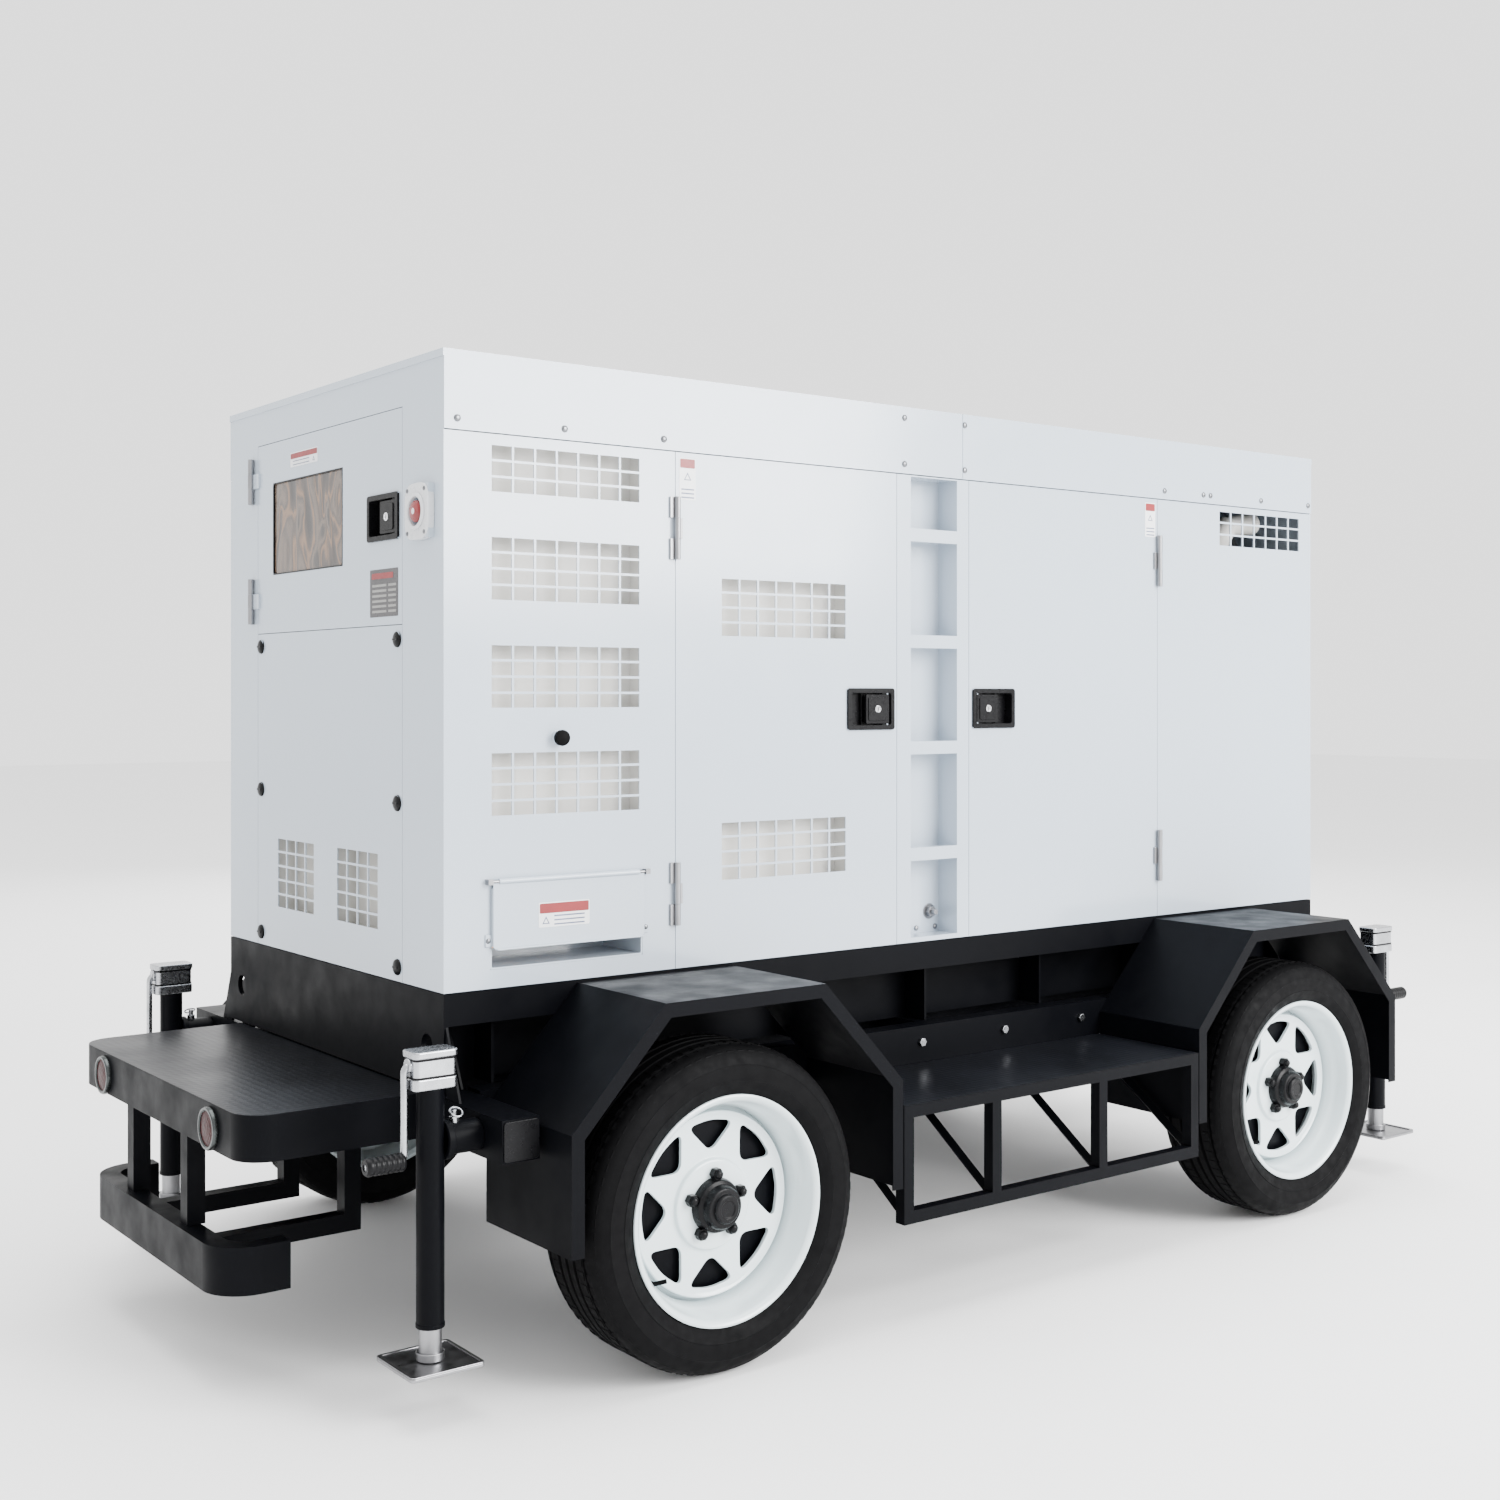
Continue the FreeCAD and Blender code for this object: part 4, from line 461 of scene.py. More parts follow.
def eased(points, radius):
    """A path with each inner corner rounded."""
    path = [Vector(points[0])]
    for before, corner, after in zip(points, points[1:], points[2:]):
        path += bend(before, corner, after, radius, 6)
    return path + [Vector(points[-1])]


# ---------------------------------------------------------------- canopy

CELL_WIDE, CELL_TALL, PITCH_WIDE, PITCH_TALL = 0.042, 0.025, 0.0466, 0.0295
WALL_GRILLE_START, WALL_GRILLE_LOW, WALL_GRILLE_STEP = 0.097, 1.005, 0.1963
DOOR_GRILLE_START, DOOR_GRILLE_LOWS = 0.615, (0.857, 1.342)
SERVICE_GRILLE_STARTS, SERVICE_GRILLE_LOW = (0.057, -0.235), 0.780
LINING_IN = 0.048
LINING_ROOM = 0.012
LINING_SHEET = 0.002


def grille_span(start, low, columns, rows):
    """The corners of a grille with this many cells."""
    wide = (columns - 1) * PITCH_WIDE + CELL_WIDE
    tall = (rows - 1) * PITCH_TALL + CELL_TALL
    return (start, low), (start + wide, low + tall)


def lining_trays(name, side, body, grilles):
    """The cream lining boxed in behind each grille."""
    build = Build(wall(side))
    room = LINING_ROOM
    sheet = LINING_SHEET
    for low, high in grilles:
        outer = rounded((low[0] - room, low[1] - room), (high[0] + room, high[1] + room), 0.004, 2)
        inner = rounded(
            (low[0] - room + sheet, low[1] - room + sheet),
            (high[0] + room - sheet, high[1] + room - sheet), 0.003, 2,
        )
        build.frame(outer, inner, "y", -LINING_IN, -0.0035)
        build.box(
            (low[0] - room, -LINING_IN - 0.003, low[1] - room),
            (high[0] + room, -LINING_IN, high[1] + room),
        )
    return build.piece(name, body, LINING_WITH_PAINTED_SHADE, "white_paint", 0)


def make_linings():
    """The linings of the side walls, the rear doors and the service panel."""
    for side in SIDES:
        levels = [WALL_GRILLE_LOW + WALL_GRILLE_STEP * step for step in range(4)]
        grilles = [grille_span(WALL_GRILLE_START, low, 7, 4) for low in levels[:3]]
        grilles.append(grille_span(WALL_GRILLE_START, levels[3], 7, 3))
        lining_trays(f"lining_wall_{side}", side, "trailer", grilles)
        doors = [grille_span(DOOR_GRILLE_START, low, 7, 4) for low in DOOR_GRILLE_LOWS]
        lining_trays(f"lining_door_{side}", side, f"door_rear_{side}", doors)
    ends = [grille_span(start, SERVICE_GRILLE_LOW, 4, 5) for start in SERVICE_GRILLE_STARTS]
    lining_trays("lining_rear", "rear", "trailer", ends)


LATCH_TALL = 0.086
CUP_NEAR, CUP_FAR = 0.010, 0.138
CUP_DEEP = -0.0165


def make_latch(side, body, paddle, edge, towards, low):
    """The black cup and rim over a latch, its paddle and its key cylinder."""

    def along(near, far):
        return (edge - far, edge - near) if towards > 0 else (edge + near, edge + far)

    def outline(inset, corner):
        a0, a1 = along(CUP_NEAR, CUP_FAR)
        return rounded((a0 + inset, low + inset), (a1 - inset, low + LATCH_TALL - inset), corner)

    rim = Build(wall(side))
    rim.frame(outline(-0.001, 0.006), outline(0.0088, 0.004), "y", 0.0001, 0.0048)
    rim.frame(outline(0.0082, 0.006), outline(0.0092, 0.0055), "y", -0.0175, 0.004)
    a0, a1 = along(0.0185, 0.1295)
    rim.box((a0, -0.0177, low + 0.0085), (a1, CUP_DEEP, low + 0.0775))
    for cheek in (0.0084, 0.0742):
        c0, c1 = along(0.0185, 0.0400)
        rim.box((c0, CUP_DEEP, low + cheek), (c1, -0.0004, low + cheek + 0.0034))
    b0, b1 = along(0.0895, 0.0915)
    rim.box((b0, CUP_DEEP, low + 0.0095), (b1, -0.0095, low + 0.0765))
    rim.piece(f"{paddle}_cup", body, PLASTIC, "black_plastic", 0.0012, 3)

    middle = low + LATCH_TALL / 2
    p0, p1 = along(0.0225, 0.0875)
    lever = Build(wall(side))
    lever.prism(rounded((p0, middle - 0.031), (p1, middle + 0.031), 0.004), "y", -0.004, 0.0022)
    q0, q1 = along(0.030, 0.082)
    lever.prism(rounded((q0, middle - 0.025), (q1, middle + 0.025), 0.005), "y", 0.0022, 0.0040)
    g0, g1 = along(0.077, 0.086)
    lever.box((g0, -0.0075, middle - 0.026), (g1, -0.004, middle + 0.026))
    piece = lever.piece(f"{paddle}_lever", paddle, PLASTIC, "black_plastic", 0.0014, 3)
    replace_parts(piece, paddle)

    key_at = (sum(along(0.056, 0.056)) / 2, middle)
    key = Build(wall(side))
    key.turn(
        [(0.0002, 0.0035), (0.0080, 0.0035), (0.0080, 0.0052), (0.0072, 0.0060), (0.0056, 0.0060),
         (0.0052, 0.0050), (0.0002, 0.0050)],
        "y", key_at, 28,
    )
    key.piece(f"{paddle}_key", paddle, CHROME, "zinc_plate", 0)
    slot = Build(wall(side))
    slot.box(
        (key_at[0] - 0.0007, 0.0051, key_at[1] - 0.004), (key_at[0] + 0.0007, 0.0054, key_at[1] + 0.004)
    )
    slot.piece(f"{paddle}_keyhole", paddle, PLASTIC, "black_plastic", 0)


def make_hinge_sleeve(name, side, body, pivot, towards, low, tall, reach):
    """The bright sleeve and leaf that swing with a door."""
    build = Build(wall(side))
    start, end = low + tall / 3 + 0.0006, low + 2 * tall / 3 - 0.0006
    build.rod("z", start, end, (pivot, 0.0075), 0.0063)
    if reach:
        leaf = (pivot, pivot + towards * (reach + 0.0004))
        build.box((min(leaf), 0.0001, start), (max(leaf), 0.0048, end))
    build.piece(name, body, STEEL, "zinc_plate", 0.0006)


DOOR_HINGE_TALL, CONTROL_HINGE_TALL = 0.122, 0.097
DOOR_HINGE_LOWS = (("low", 0.777), ("high", 1.488))
CONTROL_HINGE_LOWS = (("low", 1.377), ("high", 1.635))
# end of the trailer, way from the hinge to the latch, hinge axis, latch edge
SIDE_DOORS = (("rear", 1, 0.50275, 1.079), ("front", -1, 1.92275, 1.2935))


def make_doors():
    """Finishes, latches and hinge sleeves of the four side doors and the control door."""
    for side in SIDES:
        for end, towards, pivot, edge in SIDE_DOORS:
            body = f"door_{end}_{side}"
            dress(body, WHITE)
            make_latch(side, body, f"latch_paddle_{end}_{side}", edge, towards, 1.152)
            for level, low in DOOR_HINGE_LOWS:
                make_hinge_sleeve(
                    f"hinge_sleeve_{end}_{side}_{level}", side, body, pivot, towards, low,
                    DOOR_HINGE_TALL, 0.014,
                )
    dress("control_door", WHITE)
    make_latch("rear", "control_door", "latch_paddle_control", -0.3355, -1, 1.516)
    for level, low in CONTROL_HINGE_LOWS:
        make_hinge_sleeve(
            f"hinge_sleeve_control_{level}", "rear", "control_door", 0.367, -1, low,
            CONTROL_HINGE_TALL, 0,
        )
    dress("door_hinges", STEEL, 0.0006)


def make_screws():
    """Small bright screws in the roof skirts and on the ladder post."""
    for side in SIDES:
        build = Build(wall(side))
        low_row = (0.026, 0.250, 0.474, 1.100, 1.278, 1.947, 2.093, 2.120, 2.320, 2.516)
        spots = [(along, 1.720) for along in low_row] + [(1.100, 1.819), (1.278, 1.819)]
        for along, z in spots:
            tall_dome(build, "y", 0.002, (along, z), 0.0068, 0.0035)
        build.piece(f"roof_screws_{side}", "trailer", SCREW, "zinc_plate", 0)
        earth = Build(wall(side))
        earth.rod("y", -0.060, -0.058, (1.228, 0.747), 0.017, 32)
        earth.prism(ring(0.0125, 6, (1.228, 0.747)), "y", -0.058, -0.048)
        earth.rod("y", -0.048, -0.036, (1.228, 0.747), 0.006)
        for along in (1.190, 1.246):
            tall_dome(earth, "y", -0.060, (along, 0.712), 0.006, 0.004)
        earth.piece(f"earth_bolt_{side}", "trailer", STEEL, "zinc_plate", 0.0006)
        knob = Build(wall(side))
        knob.turn(
            [(0.0002, 0.0), (0.0105, 0.0), (0.0112, 0.006), (0.0145, 0.009), (0.0152, 0.016),
             (0.0140, 0.0205), (0.0100, 0.0225), (0.0002, 0.0230)],
            "y", (0.237, 1.145), 32,
        )
        knob.piece(f"door_buffer_{side}", "trailer", RUBBER, "black_plastic", 0)


NOTICE_OUT = 0.0001
NOTICE_SHEET = 0.0004
PRINT_TOP = 0.0007


def make_patch(name, side, body, low, high, out, material, slot):
    """A thin plate lying on a panel."""
    build = Build(wall(side))
    build.prism(rounded(low, high, min(0.002, (high[1] - low[1]) / 4), 2), "y", out, out + NOTICE_SHEET)
    build.piece(name, body, material, slot, 0)


def make_label(name, side, body, low, high, lines=3, out=NOTICE_OUT):
    """A generic notice: a red header, a triangle and a few plain bars."""
    make_patch(f"{name}_base", side, body, low, high, out, LABEL, "white_paint")
    wide, tall = high[0] - low[0], high[1] - low[1]
    upright = tall > wide
    header_low = (low[0] + 0.002, high[1] - (0.24 if upright else 0.44) * tall)
    header_high = (high[0] - 0.002, high[1] - 0.002)
    face, top = out + NOTICE_SHEET, out + PRINT_TOP
    make_patch(f"{name}_header", side, body, header_low, header_high, face, LABEL_RED, "red_plastic")
    room = header_low[1] - low[1]
    if upright:
        centre = (low[0] + wide / 2, low[1] + room * 0.70)
        outer, inner = wide * 0.26, wide * 0.17
        start = low[0] + 0.12 * wide
        room *= 0.42
    else:
        centre = (low[0] + 0.14 * wide, low[1] + room * 0.42)
        outer, inner = room * 0.36, room * 0.22
        start = low[0] + 0.30 * wide
    ink = Build(wall(side))
    ink.frame(ring(outer, 3, centre, math.pi / 2), ring(inner, 3, centre, math.pi / 2), "y", face, top)
    for line in range(lines):
        z = low[1] + room * (line + 0.6) / (lines + 0.3)
        ink.box((start, face, z - room * 0.05), (high[0] - 0.10 * wide, top, z + room * 0.05))
    ink.piece(f"{name}_marks", body, LABEL_INK, "black_plastic", 0)


def make_labels():
    """The notices on the doors and the cable flap, and the rating plate."""
    for side in SIDES:
        for end, near, far in (("rear", 0.512, 0.551), ("front", 1.878, 1.915)):
            body = f"door_{end}_{side}"
            make_label(f"door_label_{end}_{side}", side, body, (near, 1.606), (far, 1.688))
    make_label("control_label", "rear", "control_door", (0.038, 1.696), (0.173, 1.726), 2)
    make_label("flap_label", "right", "outlet_flap", (0.190, 0.796), (0.300, 0.842), out=0.0093)
    low, high = (-0.321, 1.372), (-0.203, 1.462)
    body = "control_door"
    make_patch("rating_plate", "rear", body, low, high, NOTICE_OUT, LABEL_DARK, "black_plastic")
    head_low, head_high = (low[0] + 0.02, high[1] - 0.018), (high[0] - 0.008, high[1] - 0.007)
    make_patch("rating_plate_header", "rear", body, head_low, head_high, 0.0005, LABEL_RED, "red_plastic")
    rows = Build(wall("rear"))
    for line in range(6):
        z = low[1] + 0.008 + 0.0098 * line
        for start, end in ((low[0] + 0.008, low[0] + 0.040), (low[0] + 0.048, high[0] - 0.010)):
            rows.box((start, 0.0005, z), (end, 0.0008, z + 0.0045))
    rows.piece("rating_plate_cells", body, GREY, "white_paint", 0)


def make_control_window():
    """The window with its seal, and the instruments behind it."""
    dress("control_window", GLASS, 0)
    low, high = (-0.080, 1.478), (0.264, 1.672)
    seal = Build(wall("rear"))
    seal.frame(
        rounded((low[0] + 0.0002, low[1] + 0.0002), (high[0] - 0.0002, high[1] - 0.0002), 0.006),
        rounded((low[0] + 0.003, low[1] + 0.003), (high[0] - 0.003, high[1] - 0.003), 0.006),
        "y", -0.0029, 0.0006,
    )
    seal.piece("window_seal", "control_door", PLASTIC, "black_plastic", 0.0004)
    dress("control_box", GREY, 0.002)
    behind = Matrix.Translation((-1.163, 0.0, 0.0))
    face = Build(behind)
    face.box((0.0, -0.105, 1.47), (0.0128, 0.275, 1.70))
    face.piece("instrument_panel", "trailer", GREY, "black_plastic", 0.002)
    screen = Build(behind)
    screen.prism(rounded((0.06, 1.56), (0.22, 1.655), 0.006), "x", -0.008, 0.0)
    screen.piece("instrument_screen", "trailer", SCREEN, "black_plastic", 0.0015)
    keys = Build(behind)
    for step in range(5):
        keys.rod("x", -0.009, 0.0, (0.068 + 0.036 * step, 1.525), 0.011)
    keys.piece("instrument_keys", "trailer", PLASTIC, "black_plastic", 0.001)
    lamps = Build(behind)
    for step in range(3):
        lamps.rod("x", -0.010, 0.0, (-0.055 + 0.045 * step, 1.625), 0.013)
    lamps.piece("instrument_lamps", "trailer", RED, "red_plastic", 0.003)


def make_stop_button():
    """The emergency stop: a white cast plate with full sides, and the mushroom in its bowl."""
    centre = (-0.421, 1.557)
    half_wide, half_tall = 0.0455, 0.0515
    bowl, front = 0.0262, 0.0150
    count = 64
    outer = []
    for step in range(count):
        angle = math.tau * step / count
        across, up = math.cos(angle), math.sin(angle)
        outer.append(
            (centre[0] + half_wide * math.copysign(abs(across) ** 0.55, across),
             centre[1] + half_tall * math.copysign(abs(up) ** 0.55, up))
        )
    plate = Build(wall("rear"))
    plate.frame(outer, ring(bowl, count, centre), "y", 0.0001, front)
    plate.turn(
        [(bowl, 0.0100), (0.0345, 0.0145), (0.0345, 0.0185), (0.0300, 0.0200), (bowl, 0.0185)],
        "y", centre, 48,
    )
    plate.piece("stop_plate", "trailer", STOP_CASE, "white_paint", 0.0022, 3)
    screws = Build(wall("rear"))
    for across in (-1, 1):
        for up in (-1, 1):
            spot = (centre[0] + across * 0.033, centre[1] + up * 0.039)
            tall_dome(screws, "y", front, spot, 0.0042, 0.002)
    screws.piece("stop_screws", "trailer", SCREW, "zinc_plate", 0)
    knob = Build(wall("rear"))
    knob.turn(
        [(0.0002, -0.012), (0.0056, -0.012), (0.0056, 0.0096), (0.0150, 0.0097), (0.0200, 0.0118),
         (0.0198, 0.0158), (0.0170, 0.0190), (0.0080, 0.0208), (0.0002, 0.0210)],
        "y", centre, 48,
    )
    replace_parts(knob.piece("stop_knob", "stop_button", RED, "red_plastic", 0), "stop_button")
    cap = Build(wall("rear"))
    tall_dome(cap, "y", 0.0200, centre, 0.0060, 0.0018, 28)
    cap.piece("stop_knob_cap", "stop_button", CHROME, "zinc_plate", 0)


def make_service_panel():
    """The lower end panel and its six quarter-turn locks."""
    dress("service_panel", WHITE)
    build = Build(wall("rear"))
    low, high = 0.692, 1.3545
    for along in (-0.3185, 0.3265):
        for share in (0.04, 0.5, 0.96):
            z = low + share * (high - low)
            tall_dome(build, "y", 0.0001, (along, z), 0.0155, 0.0062, 28)
            build.box((along - 0.0095, 0.0055, z - 0.0016), (along + 0.0095, 0.0072, z + 0.0016))
    build.piece("quarter_turn_locks", "trailer", PLASTIC, "black_plastic", 0.0004)


def make_cable_outlet():
    """The folded flap, the white box behind it and the copper terminals."""
    flap = Build(wall("right"))
    a0, a1, low, top = 0.0955, 0.4245, 0.762, 0.886
    outline = [
        (a0 + 0.006, low), (a1 - 0.006, low), (a1, low + 0.006), (a1, top), (a0, top), (a0, low + 0.006),
    ]
    flap.prism(outline, "y", 0.0070, 0.0092)
    for along in (a0, a1 - 0.002):
        flap.box((along, 0.0008, low + 0.006), (along + 0.002, 0.0070, top - 0.012))
    flap.box((a0 + 0.006, 0.0092, low), (a1 - 0.006, 0.0150, low + 0.0022))
    flap.rod("x", a0 + 0.012, a1 - 0.012, (0.008, top), 0.0050)
    for ear in (a0 - 0.0125, a1 - 0.0005):
        flap.box((ear, 0.0006, low + 0.006), (ear + 0.013, 0.0026, low + 0.028))
    piece = flap.piece("outlet_flap_sheet", "outlet_flap", WHITE, "white_paint", 0.0007)
    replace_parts(piece, "outlet_flap")
    tray = Build(wall("right"))
    inner = rounded((0.0975, 0.7295), (0.4225, 0.8855), 0.003, 2)
    tray.frame(rounded((0.0942, 0.7262), (0.4258, 0.8888), 0.003, 2), inner, "y", -0.135, -0.0005)
    tray.box((0.0942, -0.137, 0.7262), (0.4258, -0.135, 0.8888))
    tray.piece("outlet_box", "trailer", WHITE, "white_paint", 0)
    bars = Build(wall("right"))
    for step in range(4):
        start = 0.122 + 0.076 * step
        bars.box((start, -0.134, 0.752), (start + 0.040, -0.085, 0.760))
        bars.prism(ring(0.010, 6, (start + 0.020, -0.098)), "z", 0.760, 0.769)
    bars.piece("outlet_terminals", "trailer", COPPER, "zinc_plate", 0.0008)
    screws = Build(wall("right"))
    for along in (a0 - 0.0070, a1 + 0.0070):
        tall_dome(screws, "y", 0.0026, (along, low + 0.017), 0.0048, 0.0024)
    screws.piece("outlet_screws", "outlet_flap", SCREW, "zinc_plate", 0)


def make_canopy():
    """Every canopy part above the base."""
    for name in ("roof", "side_panels", "rear_end_frame", "front_panel"):
        dress(name, WHITE)
    make_linings()
    make_doors()
    make_screws()
    make_labels()
    make_control_window()
    make_stop_button()
    make_service_panel()
    make_cable_outlet()


# ---------------------------------------------------------------- trailer

DECK_BACK, DECK_FRONT, DECK_HALF, DECK_TOP = -1.5455, -1.2015, 0.4395, 0.5061
REFLECTOR_BACK = -1.5460


def make_deck():
    """The tread plates on the rear deck and the side steps, the guards' stays and the reflectors."""
    for name in ("chassis_frame", "rear_platform", "rear_bumper", "fenders", "side_steps", "base_tank"):
        dress(name, BLACK, 0.0022)
    corners = rounded((DECK_BACK, -DECK_HALF), (-1.1450, DECK_HALF), 0.058, 8)
    outline = [(max(DECK_BACK, min(x, DECK_FRONT)), y) for x, y in corners if x < -1.20]
    outline += [(DECK_FRONT, -DECK_HALF), (DECK_FRONT, DECK_HALF)]
    tread = Build()
    tread.prism(outline, "z", DECK_TOP, DECK_TOP + 0.0011)
    tread.piece("deck_tread", "trailer", PLATE, "black_paint", 0)
    for side, sign in SIDES.items():
        step = Build()
        span = sorted((sign * 0.503, sign * 0.790))
        step.box((-0.361, span[0], 0.4301), (0.510, span[1], 0.4311))
        step.piece(f"step_tread_{side}", "trailer", PLATE, "black_paint", 0)
        braces = Build()
        for x in (-0.3515, -0.1130, 0.2022, 0.5005):
            start = (x, sign * 0.510, 0.402)
            end = (x, sign * 0.776, 0.216)
            braces.pipe([start, end], 0.0115, 4)
        braces.piece(f"guard_braces_{side}", "trailer", BLACK, "black_paint", 0.0012)
        ring_piece = Build()
        lens_piece = Build()
        centre = (sign * 0.285, 0.462)
        ring_piece.turn(
            [(0.0310, REFLECTOR_BACK), (0.0385, REFLECTOR_BACK), (0.0385, -1.5520), (0.0365, -1.5552),
             (0.0330, -1.5552), (0.0310, -1.5530)],
            "x", centre, 56,
        )
        lens_piece.turn(
            [(0.0002, REFLECTOR_BACK), (0.0310, REFLECTOR_BACK), (0.0310, -1.5520), (0.0200, -1.5538),
             (0.0002, -1.5543)],
            "x", centre, 56,
        )
        ring_done = ring_piece.piece(f"reflector_ring_{side}", "trailer", RIM_METAL, "zinc_plate", 0)
        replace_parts(ring_done, "tail_lamps")
        lens_piece.piece(f"reflector_lens_{side}", "trailer", LENS_RED, "red_plastic", 0)


def make_base_details():
    """Gussets over the jack beams, corner plates, beam end caps and the bolts along the side rails."""
    for side, sign in SIDES.items():
        build = Build()
        outline = [(sign * 0.3905, 0.629), (sign * 0.3905, 0.5045), (sign * 0.452, 0.5045)]
        for centre in BEAMS_X:
            for offset in (-0.030, 0.024):
                build.prism(outline, "x", centre + offset, centre + offset + 0.006)
        corner = [(sign * 0.5002, 0.632), (sign * 0.5002, 0.504), (sign * 0.552, 0.504)]
        build.prism(corner, "x", -1.198, -1.192)
        build.piece(f"beam_gussets_{side}", "trailer", BLACK, "black_paint", 0.0008)
        bolts = Build()
        for x in (-0.30, -0.05, 0.20, 0.45):
            bolts.prism(ring(0.0095, 6, (x, 0.475)), "y", sign * 0.5002, sign * 0.5072)
        bolts.piece(f"rail_bolts_{side}", "trailer", ZINC, "zinc_plate", 0.0006)
        caps = Build()
        for x in BEAMS_X:
            span = sorted((sign * 0.7101, sign * 0.7130))
            caps.prism(rounded((x - 0.034, 0.433), (x + 0.034, 0.501), 0.006), "y", *span)
        caps.piece(f"beam_caps_{side}", "trailer", PLASTIC, "black_plastic", 0.0008)


TREAD_BLOCKS = 76


def tyre_profile():
    """One tyre's section as (radius, along the axle)."""
    half = [
        (0.2005, 0.0795), (0.2095, 0.0840), (0.2180, 0.0905), (0.2300, 0.0950), (0.2330, 0.0962),
        (0.2345, 0.0952), (0.2480, 0.0968), (0.2600, 0.0960), (0.2625, 0.0968), (0.2640, 0.0952),
        (0.2740, 0.0915), (0.2830, 0.0855), (0.2895, 0.0775), (0.2935, 0.0690), (0.2950, 0.0600),
        (0.2880, 0.0590), (0.2880, 0.0540), (0.2958, 0.0530), (0.2966, 0.0290), (0.2890, 0.0280),
        (0.2890, 0.0210), (0.2968, 0.0200), (0.2970, 0.0045), (0.2895, 0.0035),
    ]
    return half + [(radius, -along) for radius, along in reversed(half)]


def wheel_place(x, sign):
    """Where a wheel's own frame sits: y outwards along the axle."""
    return Matrix.Translation((x, sign * WHEEL_MIDDLE, WHEEL_Z)) @ Matrix.Diagonal((1, sign, 1, 1))


def make_tyre(name, body, matrix):
    """A grooved carcass with shoulder and inner tread blocks."""
    build = Build(matrix)
    build.turn(tyre_profile(), "y", (0.0, 0.0), 120)
    tyre = build.piece(f"{name}_carcass", body, RUBBER, "tyre_rubber", 0)
    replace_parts(tyre, name)
    blocks = Build(matrix)
    for step in range(TREAD_BLOCKS):
        blocks.matrix = matrix @ Matrix.Rotation(math.tau * step / TREAD_BLOCKS, 4, "Y")
        for side in (-1, 1):
            blocks.add(
                [(-0.0085, side * 0.0605, 0.2925), (0.0065, side * 0.0605, 0.2925),
                 (0.0095, side * 0.0860, 0.2800), (-0.0055, side * 0.0860, 0.2800),
                 (-0.0080, side * 0.0605, 0.2966), (0.0060, side * 0.0605, 0.2966),
                 (0.0090, side * 0.0825, 0.2862), (-0.0050, side * 0.0825, 0.2862)],
                [(0, 1, 2, 3), (4, 5, 6, 7), (0, 1, 5, 4), (1, 2, 6, 5), (2, 3, 7, 6), (3, 0, 4, 7)],
            )
            middle = side * 0.0400
            blocks.box((-0.0075, middle - 0.0105, 0.2940), (0.0075, middle + 0.0105, 0.2971))
    blocks.piece(f"{name}_tread", body, RUBBER, "tyre_rubber", 0)


WHEEL_WINDOWS = 8
WINDOW_CORNER = 0.020
WINDOW_CORNER_STEPS = 7
STUDS = 5
STUD_CIRCLE = 0.0572


def window_cutter(matrix):
    """The rounded triangular windows of a wheel disc."""
    build = Build(matrix)
    corners = ((0.093, 0.0), (0.145, 0.052), (0.154, 0.0), (0.145, -0.052))
    outline = []
    for index, corner in enumerate(corners):
        after = corners[(index + 1) % len(corners)]
        outline += bend(corners[index - 1], corner, after, WINDOW_CORNER, WINDOW_CORNER_STEPS)
    for step in range(WHEEL_WINDOWS):
        angle = math.tau * step / WHEEL_WINDOWS
        cos, sin = math.cos(angle), math.sin(angle)
        turned = [(across * cos - up * sin, across * sin + up * cos) for across, up in outline]
        build.prism(turned, "y", -0.02, 0.06)
    bmesh.ops.recalc_face_normals(build.mesh, faces=build.mesh.faces)
    data = bpy.data.meshes.new("window_cutter")
    build.mesh.to_mesh(data)
    build.mesh.free()
    cutter = bpy.data.objects.new("window_cutter", data)
    bpy.context.scene.collection.objects.link(cutter)
    return cutter


